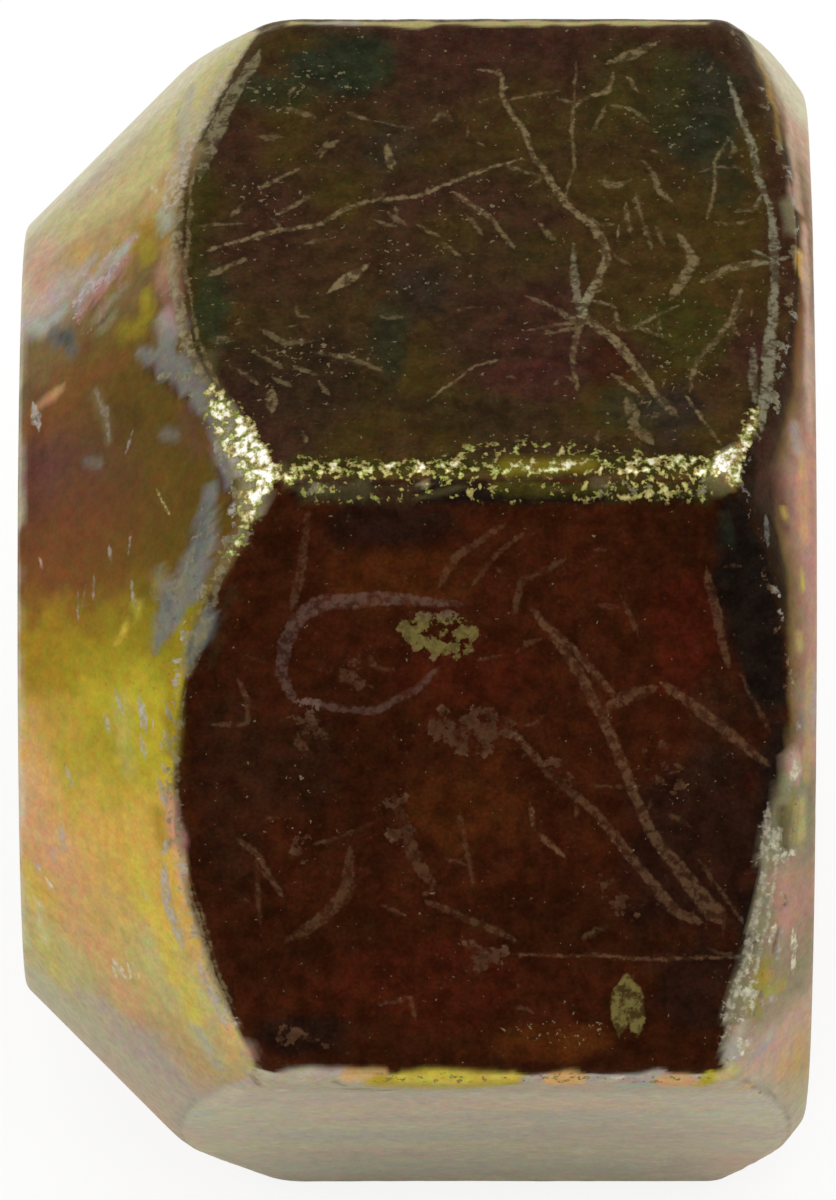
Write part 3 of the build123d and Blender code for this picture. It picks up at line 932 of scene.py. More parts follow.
# Scratches and scuffs. Each: points as (x, s), width in mm or widths from start to end, tone from 0 to 1,
# and a shade where it isn't scuffed plating.
topMarks = [
    ([(1.6, -5.9), (2.1, -5.8), (2.2, -4.8), (2.7, -3.8), (2.9, -2.9), (3.2, -2.4), (3.8, -1.2), (4.4, -0.6),
         (4.7, 0.1), (4.7, 0.6), (4.4, 1.4), (4.1, 2.1), (4.1, 2.6)], (0.12, 0.15, 0.2, 0.26), 0.85),
    ([(4.1, 2.4), (4.9, 3.2), (5.4, 4.1), (5.9, 5.1)], (0.24, 0.28, 0.16), 0.8),
    ([(-5.1, 0.2), (-3.7, -0.4), (-2.4, -0.65), (-1.8, -1.15), (-1.15, -1.45), (0, -1.6), (0.85, -2.05),
         (1.85, -2.6), (2.5, -2.8)], (0.1, 0.14, 0.12, 0.1), 0.8),
    ([(2.3, -2.6), (3.3, -2.2)], 0.1, 0.6),
    ([(1, -1.7), (1.9, -0.8), (2.4, 0.1)], (0.12, 0.14, 0.1), 0.6),
    ([(4, -6.1), (3.9, -4.2), (3.9, -2.5), (3.7, -1.5)], (0.06, 0.08, 0.06), 0.6),
    ([(3.9, -4.65), (4.3, -5), (4.8, -5.15), (4.9, -5.8)], (0.1, 0.14, 0.1), 0.75),
    ([(4.9, -4.7), (5.4, -4.6), (5.7, -4.2)], 0.1, 0.5),
    ([(4.7, -4.6), (4.4, -3.8)], 0.1, 0.5),
    ([(2.4, -4.9), (3.6, -5.2)], 0.08, 0.5),
    ([(4.8, -6.15), (5.4, -6.45), (6, -6.85)], (0.12, 0.36, 0.1), 0.75),
    ([(5.3, -5.6), (5.5, -5.2)], (0.12, 0.1), 0.8),
    ([(-2.1, 1.6), (-1.65, 1.15), (-1.2, 0.7)], (0.1, 0.36, 0.1), 0.85),
    ([(-0.7, -3.3), (-0.6, -2.7)], (0.12, 0.24), 0.8),
    ([(-1.6, -4.4), (-1.2, -4.2)], 0.12, 0.6),
    ([(-0.9, -4.1), (-0.1, -3.9)], 0.08, 0.6),
    ([(0.4, -4.1), (0.7, -4.5), (0.9, -4.2)], 0.1, 0.5),
    ([(-3.8, -1.9), (-2.9, -2.5)], (0.14, 0.1), 0.6),
    ([(-3.3, -1.1), (-2.6, -1.6)], 0.12, 0.6),
    ([(-3.9, -0.2), (-3.4, -0.5)], (0.16, 0.14), 0.65),
    ([(-3.7, -3.6), (-3.5, -3.6)], 0.3, 0.4),
    ([(-2.4, -3.1), (-2, -3.4)], (0.16, 0.2), 0.55),
    ([(-3.2, -4.6), (-2.6, -4.3)], (0.16, 0.2), 0.55),
    ([(-4.5, -1), (-4.3, -1.3)], (0.16, 0.12), 0.6),
    ([(-5, 1), (-4.2, 0.5)], (0.2, 0.12), 0.6),
    ([(-5.3, -0.6), (-4.3, -0.7)], 0.08, 0.5),
    ([(-4.9, 3.2), (-4.7, 3.2)], 0.3, 0.5),
    ([(-0.7, 2.4), (-0.5, 2.4)], 0.26, 0.4),
    ([(-3.7, 2.9), (-3.2, 3.3), (-2.5, 3.2)], (0.16, 0.2, 0.1), 0.45),
    ([(-2.4, 3.6), (-1.6, 3.8), (-0.9, 4.2)], (0.12, 0.22, 0.12), 0.45),
    ([(-3.9, 3.6), (-3.3, 4.1)], (0.1, 0.14), 0.4),
    ([(-3.5, 5), (-3.5, 5.4)], (0.26, 0.3), 0.75),
    ([(0.3, 5.2), (1.4, 4.1), (2, 3.9)], 0.06, 0.7),
    ([(4, 2.7), (3.8, 3.8), (3.95, 4.9)], (0.2, 0.14, 0.06), 0.55),
    ([(3.9, 0), (3.9, 1.2), (4, 2.2)], (0.08, 0.22, 0.2), 0.6, "crust"),
    ([(4.4, 1.9), (4.9, 2.1), (5, 2.8), (5.1, 2.9), (6.4, 2.1)], (0.1, 0.12, 0.1), 0.7),
    ([(2.8, 1.8), (3.3, 2.1), (4, 2.6)], (0.12, 0.12, 0.2), 0.6),
    ([(2.8, 2.9), (3.4, 2.7), (4, 2.6)], (0.08, 0.1, 0.16), 0.6),
    ([(3.2, 3), (3.9, 2.8)], (0.1, 0.14), 0.55),
    ([(5.4, 2.7), (6, 3.1)], (0.1, 0.14), 0.5),
    ([(4.9, 4.4), (5.5, 5.1)], (0.16, 0.1), 0.75),
    ([(5.2, 5.3), (5.3, 5.7)], (0.3, 0.34), 0.6),
    ([(6, 5.2), (6.3, 5.6)], (0.26, 0.2), 0.7),
    ([(5.3, 6), (5.7, 6.5)], 0.26, 0.6),
    ([(6.6, 5.1), (7.4, 6.6)], (0.07, 0.08), 0.75),
    ([(6.5, -0.3), (6.9, 0.6), (6.3, 1.7)], (0.14, 0.3, 0.24), 0.75),
    ([(7.1, 1.2), (7.7, 0.8), (8.6, 0.6)], (0.2, 0.26, 0.2), 0.75),
    ([(8, 1.5), (7.8, 2.4), (7.4, 3.2), (6.9, 3.8), (6.7, 4.8)], (0.1, 0.16, 0.16, 0.1), 0.7),
    ([(8, 2.2), (7.7, 2.6), (7.9, 3)], (0.1, 0.12, 0.1), 0.6),
    ([(7.8, -3.6), (7.4, -2.8), (7.4, -1.9), (7.2, -0.9)], (0.06, 0.1, 0.06), 0.7),
    ([(7, -2.4), (7.4, -2.6), (7.9, -2.6)], (0.06, 0.08), 0.5),
    ([(7.9, -1.1), (8.4, -1.1), (8.6, -1.9)], (0.1, 0.12, 0.08), 0.6),
    ([(5.2, -1.3), (5.3, -0.4)], (0.14, 0.1), 0.6),
    ([(5.6, -0.7), (5.8, 0.1)], (0.14, 0.1), 0.55),
    ([(5.45, -1.6), (5.6, -0.9)], (0.12, 0.1), 0.55),
    ([(5.95, -0.5), (6.1, 0)], (0.14, 0.1), 0.5),
    ([(4.6, -2.1), (4.9, -1.9), (5.3, -2.1)], (0.14, 0.26, 0.08), 0.6),
    ([(5.6, -2.8), (5.9, -2.3), (5.95, -1.8), (6.3, -1.4)], (0.08, 0.16, 0.12), 0.65),
    ([(7.4, -0.75), (7.9, -0.65), (8.3, -0.8)], (0.08, 0.14, 0.08), 0.5),
    ([(-4.3, 4.2), (-3.9, 4.6)], (0.16, 0.12), 0.6),
    ([(-3.4, 4.5), (-3.1, 4.7)], 0.14, 0.5),
    ([(-2.9, 4.1), (-2.5, 4.3)], (0.12, 0.14), 0.55),
    ([(-2.3, 4.7), (-2.1, 5)], (0.14, 0.12), 0.5),
    ([(-0.6, -1), (-0.3, -0.7)], (0.14, 0.16), 0.5),
    ([(0.1, -0.6), (0.5, -0.3)], (0.1, 0.16), 0.5),
    ([(0.7, 0), (1.1, 0.4)], (0.14, 0.1), 0.5),
    ([(1.3, -0.9), (1.6, -0.4)], 0.12, 0.45),
    ([(3.1, -0.6), (3.4, -0.2)], (0.12, 0.14), 0.5),
    ([(7.8, -5.6), (8, -4.6), (8.3, -3.4), (8.5, -2.2), (8.75, -1.2)],
     (0.08, 0.18, 0.22, 0.14), 0.75, "pewter"),
    ([(8.75, -1.3), (8.85, 0), (8.85, 1.2), (8.75, 2.4)], (0.14, 0.25, 0.2, 0.25), 0.75, "pewter"),
    ([(8.75, 2.3), (8.65, 3.6), (8.55, 5), (8.45, 6)], (0.22, 0.34, 0.34, 0.18), 0.8, "pewter"),
    ([(8.3, 3.4), (8.2, 4.4), (8.3, 5.2)], (0.1, 0.26, 0.14), 0.5, "pewter"),
    ([(8.3, 0.2), (8.8, 0.5), (9.2, 0.4)], (0.08, 0.14, 0.08), 0.6, "pewter"),
]
middleMarks = [
    ([(-2.9, -4.2), (-2.3, -4.6), (-0.9, -4.75), (1.1, -4.6)], (0.36, 0.42, 0.34, 0.14), 0.46, "ash"),
    ([(-2.9, -4.2), (-3.2, -3.6), (-3.3, -2.9), (-3, -2.2)], (0.36, 0.34, 0.2), 0.42, "ash"),
    ([(-2.6, -2.1), (-2, -1.9), (-1, -1.8), (0, -2.4), (0.5, -2.9)], (0.14, 0.22, 0.16), 0.35, "ash"),
    ([(-2.6, -6.9), (-2.8, -5.5), (-3, -4.6)], (0.14, 0.24, 0.2), 0.28),
    ([(2.9, -4.4), (4, -2.8), (4.7, -1.4), (5.7, 1.2), (7.3, 3.4)], (0.16, 0.28, 0.26, 0.26, 0.5), 0.42),
    ([(3.4, -3.9), (4.4, -2.8), (5, -2.1)], (0.14, 0.24, 0.14), 0.38),
    ([(2.3, -1.4), (3.3, -0.2), (4.4, 0.8), (5.4, 2.1), (6.4, 3.4), (6.9, 3.6)],
     (0.14, 0.22, 0.24, 0.26), 0.38),
    ([(4.3, 0.1), (5.1, 0.1)], 0.08, 0.3),
    ([(7, 2.1), (8, 3.6)], 0.1, 0.3),
    ([(4.7, -1.9), (5.1, -2.2), (5.7, -2.4)], (0.3, 0.36, 0.3), 0.35),
    ([(6.1, -2.5), (6.9, -1.9), (7.6, -1.3), (8.6, -0.5)], (0.2, 0.3, 0.16), 0.4),
    ([(0.6, -5.1), (1, -5.8), (2.1, -6.6)], (0.14, 0.22, 0.14), 0.28),
    ([(1.4, -5.1), (1.9, -5.8), (2.6, -6.4)], (0.1, 0.12, 0.1), 0.25),
    ([(2.4, -4.4), (2.6, -5.2), (3.6, -5.7)], (0.14, 0.2, 0.14), 0.28),
    ([(7.1, -5.4), (7.4, -4.2), (7.6, -3.1)], (0.16, 0.26, 0.18), 0.34),
    ([(7.9, -2.8), (8.6, -1.4)], 0.1, 0.25),
    ([(5.1, -4.6), (5.4, -3.8)], 0.1, 0.25),
    ([(-5, -1.5), (-4.1, -1.5), (-4.1, -2.1), (-4.3, -2.6)], (0.1, 0.14, 0.1), 0.3),
    ([(-4.3, 1.5), (-3.9, 1.8), (-3.3, 2.9)], (0.12, 0.18, 0.12), 0.35),
    ([(-3.9, 2.1), (-3.8, 3.6)], (0.12, 0.1), 0.25),
    ([(-2.4, 1.6), (-1.1, 1.1)], (0.12, 0.1), 0.3),
    ([(-1.6, 1.8), (-1.7, 2.9), (-2.3, 3.5), (-3.1, 4.1)], (0.2, 0.4, 0.2), 0.3),
    ([(-0.5, 0.4), (-0.1, 1.8), (0.3, 2.5)], (0.2, 0.4, 0.26), 0.28),
    ([(1.1, 0.8), (1.4, 2.6)], (0.12, 0.1), 0.25),
    ([(2.8, 0.6), (2.9, 1.2)], (0.12, 0.1), 0.5),
    ([(3.1, 1.4), (3.6, 1.9)], (0.14, 0.1), 0.5),
    ([(0.3, 3.1), (1.1, 3.5), (2.4, 4.1)], (0.14, 0.2, 0.14), 0.3),
    ([(1.3, 4.2), (1.9, 4.6)], (0.26, 0.2), 0.45),
    ([(2.4, 4.5), (4.2, 4.5), (6.2, 4.6), (8.3, 4.5)], (0.06, 0.1, 0.08), 0.45),
    ([(4.2, 4), (4.6, 3.8)], 0.2, 0.35),
    ([(-0.9, 5.8), (-0.1, 5.6), (0, 6.1)], (0.1, 0.12, 0.1), 0.3),
    ([(5.2, 4.95), (5.1, 5.5), (5.05, 6.1), (5.03, 6.35)], (0.05, 0.5, 0.62, 0.3), 0.75, "gilt"),
    ([(5.2, 5), (5.32, 5.5), (5.4, 6.1), (5.42, 6.4)], (0.05, 0.5, 0.6, 0.3), 0.75, "gilt"),
]

# The same off the flats, with points as (x, degrees)
turnMarks = [
    ([(-5.2, 122), (-5.45, 125.6), (-5.95, 129.6), (-6.35, 133.6)],
     (0.04, 0.1, 0.12, 0.06), 0.45, "greyOlive"),
    ([(-6.5, 129.6), (-6.35, 130.6), (-5.9, 130.9)], (0.05, 0.07, 0.04), 0.5, "steel"),
    ([(-4.9, 123.4), (-5.1, 126.2)], (0.05, 0.1), 0.4, "greyOlive"),
    ([(-9.45, 101.6), (-9.35, 103.4), (-9.3, 105)], (0.2, 0.34, 0.1), 0.7),
    ([(-7.85, 104), (-7.6, 107), (-7.5, 110.5)], (0.12, 0.16, 0.1), 0.3),
    ([(-7.35, 141.6), (-7.1, 143.4)], (0.14, 0.1), 0.8),
    ([(-6.75, 142), (-6.6, 144.4)], (0.2, 0.3), 0.85),
    ([(-7.6, 145), (-7.5, 146)], (0.2, 0.16), 0.7),
    ([(-6.7, 146.6), (-6.6, 147.8)], (0.24, 0.2), 0.7),
    ([(-6.1, 145.4), (-5.9, 147)], (0.26, 0.2), 0.6),
    ([(-6.25, 150.6), (-6.1, 152.4)], (0.2, 0.24), 0.9),
    ([(-5.85, 154.4), (-5.75, 156)], (0.24, 0.3), 0.85),
    ([(-6.2, 158.4), (-6, 157)], 0.2, 0.8),
    ([(-6.15, 160.6), (-6.15, 163.4), (-5.95, 166), (-5.7, 168.6)], (0.24, 0.4, 0.44, 0.3), 0.85),
    ([(-5.3, 170.4), (-5, 173), (-4.6, 175.6)], (0.2, 0.34, 0.3), 0.8),
    ([(-8.6, 153.4), (-8.45, 154.6)], 0.16, 0.6),
    ([(-8.75, 163), (-8.7, 165)], 0.24, 0.65),
    ([(-9, 166.6), (-8.95, 168)], 0.2, 0.5),
    ([(-9.4, 171), (-9.3, 171.4)], 0.16, 0.7),
    ([(-9.1, 173), (-9, 173.4)], 0.2, 0.8, "cream"),
    ([(-7.4, 179), (-7.2, 179.6)], 0.3, 0.75, "cream"),
    ([(-7.5, 180), (-7.4, 181)], 0.14, 0.6, "cream"),
    ([(-6.95, 177), (-6.85, 178)], 0.16, 0.75, "cream"),
    ([(-7.7, 168), (-7.6, 168.6)], 0.16, 0.4),
    ([(-6.7, 165), (-6.6, 165.4)], 0.16, 0.4),
    ([(-6.95, 128.6), (-6.85, 131)], (0.1, 0.12), 0.5),
    ([(-7.9, 128), (-7.9, 130)], 0.06, 0.5),
    ([(-8.3, 129.4), (-8.3, 132.4)], 0.06, 0.5),
    ([(-7.5, 124.6), (-7.45, 125.6)], 0.12, 0.45),
    ([(-9.25, 125), (-9.2, 125.6)], 0.12, 0.7, "blush"),
    ([(-7.05, 125.4), (-6.95, 123.8)], 0.06, 0.5),
    ([(-7.1, 113.6), (-6.85, 111.6)], 0.06, 0.5),
    ([(-6.3, 119), (-5.9, 121.4)], (0.06, 0.07), 0.55, "sand"),
    ([(-6.5, 77.5), (-6.4, 79)], (0.18, 0.14), 0.5, "cream"),
    ([(-5.95, 66), (-5.85, 71), (-5.75, 75)], (0.1, 0.16, 0.1), 0.5),
    ([(-5.6, 60.6), (-5.75, 66), (-5.85, 70)], (0.3, 0.4, 0.2), 0.65),
    ([(8.85, 166.2), (8.9, 168.4)], 0.3, 0.85),
    ([(9.3, 167.6), (9.35, 169.6)], (0.2, 0.24), 0.9, "cream"),
    ([(9.3, 170.6), (9.3, 172.4)], 0.2, 0.9, "cream"),
    ([(8.75, 173.6), (8.95, 174.4)], (0.2, 0.16), 0.7),
    ([(8, 177), (8.1, 178)], (0.24, 0.2), 0.9, "cream"),
    ([(8.2, 180.4), (8.5, 178.4)], (0.2, 0.3), 0.75),
    ([(9.3, 148), (9.25, 149.4)], (0.16, 0.2), 0.8, "cream"),
    ([(8.85, 155), (8.8, 158)], 0.2, 0.5),
    ([(9, 157.6), (9.1, 158.6)], 0.2, 0.8, "cream"),
    ([(8.55, 123.4), (8.6, 125)], 0.24, 0.6, "steel"),
    ([(-4, 182.2), (-3.8, 183.4)], (0.3, 0.24), 0.8),
    ([(-3.4, 184.6), (-3.2, 184.6)], 0.24, 0.9, "cream"),
    ([(-2, 181), (-1.7, 182.4)], (0.2, 0.14), 0.6),
    ([(4.7, 180.8), (5, 180.4)], 0.2, 0.6, "cream"),
]
marks = []
for number, rows in ((1, topMarks), (2, middleMarks), ("turn", turnMarks)):
    marks += [(number, *row) for row in rows]

# Many small marks strewn by chance: side, how many, greatest length, tone
strewn = [
    (1, 46, 0.7, 0.5), (2, 40, 0.9, 0.26), (0, 44, 1.8, 0.6), (4, 44, 1.8, 0.55), (5, 44, 1.8, 0.6),
    (3, 14, 1.2, 0.25),
]
strewnFrom, strewnTo = (-4.8, -6.3), (8.2, 6.3)     # x and s


def strewMarks(number, count, longest, tone, chance):
    # Short bent marks: a start on the flat, a heading, and a bend halfway
    starts = chance.uniform(strewnFrom, strewnTo, (count, 2))
    headings = chance.uniform(0, 2 * math.pi, count)
    bends = chance.normal(0, 0.5, count)
    lengths = longest * chance.uniform(0.15, 1, count) ** 2
    made = []
    for start, heading, bend, length in zip(starts, headings, bends, lengths):
        middle = start + length / 2 * np.array([math.cos(heading), math.sin(heading)])
        end = middle + length / 2 * np.array([math.cos(heading + bend), math.sin(heading + bend)])
        made.append((number, [start, middle, end], (0.05, 0.1 + 0.06 * length, 0.05), tone))
    return made


chance = np.random.default_rng(23)
for number, count, longest, tone in strewn:
    marks += strewMarks(number, count, longest, tone, chance)


# In mm: how far edges wander, how far round a line its layer is kept for it, and its shade's rim
lineEdges = {
    "markWaver": 0.03,
    "markReach": 0.27,
    "ropeWaver": 0.07,
    "ropeReach": 0.6,
    "ropeUneven": 0.03,         # in its half-width, by a noise of the next size
    "ropeBumps": 0.5,
    "ropeOver": 0.2,            # it begins this far outside its ends and is whole this far inside
    "ropeInside": 0.5,
    "shadeRim": 0.3,
}


def markFields(number, points, widths, tone, shade=None):
    # A mark's offset, half-width and tone at every point of the chart, and where its layer is its own
    line = turnLine(points) if number == "turn" else [(x, sideGirth(number, s)) for x, s in points]
    best, offset, half = alongLine(line, widths)
    reached = best < np.max(widths) / 2 + lineEdges["markReach"]
    return offset + lineEdges["markWaver"] * raggedness, half, tone, reached, shade


def ropeFields(number, border, start, end, distance, width, tone, shade):
    # A rope's offset is the distance past its border; it thins out towards both ends
    past = pastSeat if border == "seat" else pastChamfer
    offset = past - distance + lineEdges["ropeWaver"] * raggedness
    over, whole = lineEdges["ropeOver"], lineEdges["ropeInside"]
    inside = ease(across, start - over, start + whole) * ease(-across, -end - over, -end + whole)
    inside = inside * (side == number)
    uneven = lineEdges["ropeUneven"] * softNoise(outerPoints, lineEdges["ropeBumps"], 8.8)
    half = (width / 2 + uneven) * inside - 0.5 * (inside < 0.02)
    return offset, half, tone, (np.abs(offset) < lineEdges["ropeReach"]) & (side == number), shade


def sortIntoLayers(fields):
    # Marks that lie near each other go into different layers: each takes the first layer where nothing
    # it reaches is taken
    layers = []
    for offset, half, tone, reached, shade in fields:
        if shade:
            rim = lineEdges["shadeRim"]
            weight = reached * ease(half + rim - np.abs(offset), 0, rim / 2)
            lay(linear(shades[shade]), weight, scar)
        for layer in layers:
            if not (layer["reached"] & reached).any():
                break
        else:
            layer = {"reached": np.zeros(chartX.shape, bool), "field": np.zeros(chartX.shape + (3,))}
            layer["field"][..., 1] = -1
            layers.append(layer)
        layer["reached"] |= reached
        field = np.stack([offset, half, np.full_like(half, tone)], -1)
        layer["field"] = np.where(reached[..., None], field, layer["field"])
    return [layer["field"] for layer in layers]


scratchLayers = sortIntoLayers([ropeFields(*rope) for rope in ropes] + [markFields(*mark) for mark in marks])
print(len(marks), "marks in", len(scratchLayers), "layers")


def gridCorners(rows, count):
    # Corners of every quad as (row, column), columns counted past the seam
    r, c = np.meshgrid(np.arange(rows - 1), np.arange(count), indexing="ij")
    r, c = r.ravel(), c.ravel()
    return np.stack([r, r + 1, r + 1, r], -1), np.stack([c, c, c + 1, c + 1], -1)


# Flat layout for textures: the six sides as tiles, two across and three up, and the bore as a strip
sheetLayout = {
    "name": "OFBake",
    "tileWide": 0.492,
    "tileHigh": 0.272,
    "stepWide": 0.5,            # from one tile to the next
    "stepHigh": 0.28,
    "gap": 0.004,
    "boreFrom": 0.844,
    "endRoom": 0.15,            # left in mm at both ends of a tile, for the faces that join the bore
}
outerRows = len(outerPoints)
boreRowCount, boreColumns = len(borePoints), len(boreAngle)

# Way along the section in mm, row by row, measured in a column of a flat
sectionSteps = np.linalg.norm(np.diff(outer[:, columns // 12], axis=0), axis=1)
way = np.concatenate([[0], np.cumsum(sectionSteps)]) + sheetLayout["endRoom"]
wayLength = way[-1] + sheetLayout["endRoom"]


def outerIndex(row, column):
    return row * columns + column % columns


def boreIndex(row, column):
    return outerRows * columns + row * boreColumns + column % boreColumns


def wholeGirth(column):
    # Girth of a column that may be counted past the seam
    return girth[column % columns] + 6 * sideLength * (column >= columns)


def tilePlace(owner, along, around):
    # Place on the sheet of a point in its side's tile, from its way along the section and its girth
    x = (owner % 2) * sheetLayout["stepWide"] + sheetLayout["gap"]
    y = (owner // 2) * sheetLayout["stepHigh"] + sheetLayout["gap"]
    x = x + along / wayLength * sheetLayout["tileWide"]
    y = y + (around / sideLength - owner) * sheetLayout["tileHigh"]
    return np.stack([x, y], -1)


def outerSheet(row, column):
    # A face belongs to the side of its first column
    owner = side[column.min(-1, keepdims=True) % columns].astype(int)
    return tilePlace(owner, way[row], wholeGirth(column)).reshape(-1, 2)


def boreSheet(row, column):
    gap, start = sheetLayout["gap"], sheetLayout["boreFrom"]
    x = gap + column / boreColumns * (1 - 2 * gap)
    y = start + row / (boreRowCount - 1) * (1 - gap - start)
    return np.stack([x, y], -1).reshape(-1, 2)


# Faces that join three outer columns to one bore column: each corner's grid and its steps from the first
seamFaces = [
    [("outer", 0), ("bore", 0), ("outer", 1)],
    [("outer", 1), ("bore", 0), ("bore", 1), ("outer", 2)],
    [("outer", 2), ("bore", 1), ("outer", 3)],
]


def sewEnd(outerRow, boreRow, boreWay, turn):
    # Faces all round between an end row of the outer grid and one of the bore, and their places
    firstBore = np.arange(boreColumns)
    firstOuter = firstBore * nut["threadShare"]
    owner = side[firstOuter]
    faces, places = [], []
    for corners in seamFaces:
        index, place = [], []
        for grid, step in corners[::turn]:
            if grid == "outer":
                index.append(outerIndex(outerRow, firstOuter + step))
                place.append(tilePlace(owner, way[outerRow], wholeGirth(firstOuter + step)))
            else:
                index.append(boreIndex(boreRow, firstBore + step))
                place.append(tilePlace(owner, boreWay, wholeGirth(firstOuter + step * nut["threadShare"])))
        faces += np.stack(index, 1).tolist()
        places.append(np.stack(place, 1).reshape(-1, 2))
    return faces, places


# The bore has one plain finish all through
boreFinish = {
    "film": (*linear(shades["olive"]) * 0.7, 1),
    "scar": (0.25, 0.2, 0.14, 1),
    "bare": 0.25,
    "shine": 0.0,
    "specks": 0.2,
    "scratch": (0.0, -1.0, 0.0),
}


def putPoints(mesh, name, kind, key, outerValues, boreValue):
    # One value for each point: the outer grid's own, and the same everywhere in the bore
    size = np.asarray(boreValue).size
    filled = np.broadcast_to(boreValue, (boreRowCount * boreColumns, size))
    values = np.concatenate([outerValues.reshape(-1, size), filled])
    mesh.attributes.new(name, kind, "POINT").data.foreach_set(key, values.astype(np.float32).ravel())


def makeNut():
    r, c = gridCorners(outerRows, columns)
    faces, places = outerIndex(r, c).tolist(), [outerSheet(r, c)]
    r, c = gridCorners(boreRowCount, boreColumns)
    faces += boreIndex(r, c).tolist()
    places.append(boreSheet(r, c))
    for end in ((outerRows - 1, 0, wayLength, 1), (0, boreRowCount - 1, 0, -1)):
        endFaces, endPlaces = sewEnd(*end)
        faces += endFaces
        places += endPlaces

    points = np.concatenate([outerPoints.reshape(-1, 3), borePoints.reshape(-1, 3)])
    mesh = bpy.data.meshes.new("nutBody")
    mesh.from_pydata((points * mm).tolist(), [], faces)
    mesh.polygons.foreach_set("use_smooth", np.ones(len(faces), bool))
    sheet = mesh.uv_layers.new(name=sheetLayout["name"])
    sheet.uv.foreach_set("vector", np.concatenate(places).astype(np.float32).ravel())

    opaque = np.ones(chartX.shape + (1,))
    for name, colours in (("film", film), ("scar", scar)):
        putPoints(mesh, name, "FLOAT_COLOR", "color", np.concatenate([colours, opaque], -1), boreFinish[name])
    for name, field in (("bare", bare), ("shine", shine), ("specks", speckles)):
        putPoints(mesh, name, "FLOAT", "value", field, boreFinish[name])
    for n, field in enumerate(scratchLayers):
        putPoints(mesh, f"scratch{n}", "FLOAT_VECTOR", "vector", field, boreFinish["scratch"])
    mesh.update()
    body = bpy.data.objects.new("nutBody", mesh)
    bpy.context.scene.collection.objects.link(body)
    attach(body, "root")
    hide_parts("lug_nut")
    return body


nutBody = makeNut()
print("nut", len(nutBody.data.vertices), "points", len(nutBody.data.polygons), "faces")


# Shader building
def node(tree, kind, inputs=None, **settings):
    # A node with its settings; an input is a number or colour, or a socket to join from
    made = tree.nodes.new(kind)
    for name, value in settings.items():
        setattr(made, name, value)
    for key, value in (inputs or {}).items():
        if isinstance(value, bpy.types.NodeSocket):
            tree.links.new(value, made.inputs[key])
        else:
            made.inputs[key].default_value = value
    return made


def sums(tree, operation, *values):
    return node(tree, "ShaderNodeMath", dict(enumerate(values)), operation=operation).outputs[0]


def vectors(tree, operation, *values):
    return node(tree, "ShaderNodeVectorMath", dict(enumerate(values)), operation=operation).outputs[0]


def scaled(tree, colour, value):
    return node(tree, "ShaderNodeVectorMath", {0: colour, 3: value}, operation="SCALE").outputs[0]


def ramped(tree, value, start, end, low=0.0, high=1.0):
    # Smooth step from low at start to high at end
    inputs = {"Value": value, "From Min": start, "From Max": end, "To Min": low, "To Max": high}
    return node(tree, "ShaderNodeMapRange", inputs, interpolation_type="SMOOTHSTEP").outputs[0]


def span(tree, share, low, high):
    # Straight from low at share 0 to high at share 1
    return sums(tree, "MULTIPLY_ADD", share, high - low, low)


def mixed(tree, factor, first, second, blend="MIX"):
    inputs = {0: factor, 6: first, 7: second}
    return node(tree, "ShaderNodeMix", inputs, data_type="RGBA", blend_type=blend).outputs[2]


def noise(tree, vector, scale, detail=3.0, rough=0.55, output=0, twist=0.0):
    inputs = {"Vector": vector, "Scale": scale, "Detail": detail, "Roughness": rough, "Distortion": twist}
    return node(tree, "ShaderNodeTexNoise", inputs).outputs[output]


def millimetres(tree):
    # Object coordinates in mm
    return vectors(tree, "MULTIPLY", node(tree, "ShaderNodeTexCoord").outputs["Object"], (1 / mm,) * 3)


def startGroup(name, inputs, outputs):
    tree = bpy.data.node_groups.new(name, "ShaderNodeTree")
    for title, kind, value in inputs:
        socket = tree.interface.new_socket(title, in_out="INPUT", socket_type="NodeSocket" + kind)
        socket.default_value = value
    for title, kind in outputs:
        tree.interface.new_socket(title, in_out="OUTPUT", socket_type="NodeSocket" + kind)
    return tree, tree.nodes.new("NodeGroupInput").outputs, tree.nodes.new("NodeGroupOutput").inputs


def placed(tree, group, **inputs):
    return node(tree, "ShaderNodeGroup", inputs, node_tree=group).outputs


# Where most of a noise's values lie
noiseSpan = (0.3, 0.7)

scratchEdge = {
    "uneven": 0.17,             # mm
    "outside": -0.04,
    "inside": 0.045,
    "breaks": (0.38, 0.57),     # of the noise that breaks a mark up
    "faintest": 0.35,
}


def makeScratchLayer():
    # One layer of marks: 1 where the offset from a mark's line is under its half-width, with an uneven
    # edge, broken up inside, times the mark's tone
    inputs = [("Layer", "Vector", (0, -1, 0)), ("Ragged", "Float", 0.5), ("Broken", "Float", 0.5)]
    tree, given, result = startGroup("scratchLayer", inputs, [("Mask", "Float")])
    parts = node(tree, "ShaderNodeSeparateXYZ", {0: given["Layer"]}).outputs
    offset = sums(tree, "ABSOLUTE", parts[0])
    ragged = sums(tree, "MULTIPLY", sums(tree, "SUBTRACT", given["Ragged"], 0.5), scratchEdge["uneven"])
    room = sums(tree, "ADD", sums(tree, "SUBTRACT", parts[1], offset), ragged)
    line = ramped(tree, room, scratchEdge["outside"], scratchEdge["inside"])
    broken = ramped(tree, given["Broken"], *scratchEdge["breaks"], scratchEdge["faintest"], 1.0)
    mask = sums(tree, "MULTIPLY", sums(tree, "MULTIPLY", line, broken), parts[2])
    tree.links.new(mask, result["Mask"])
    return tree


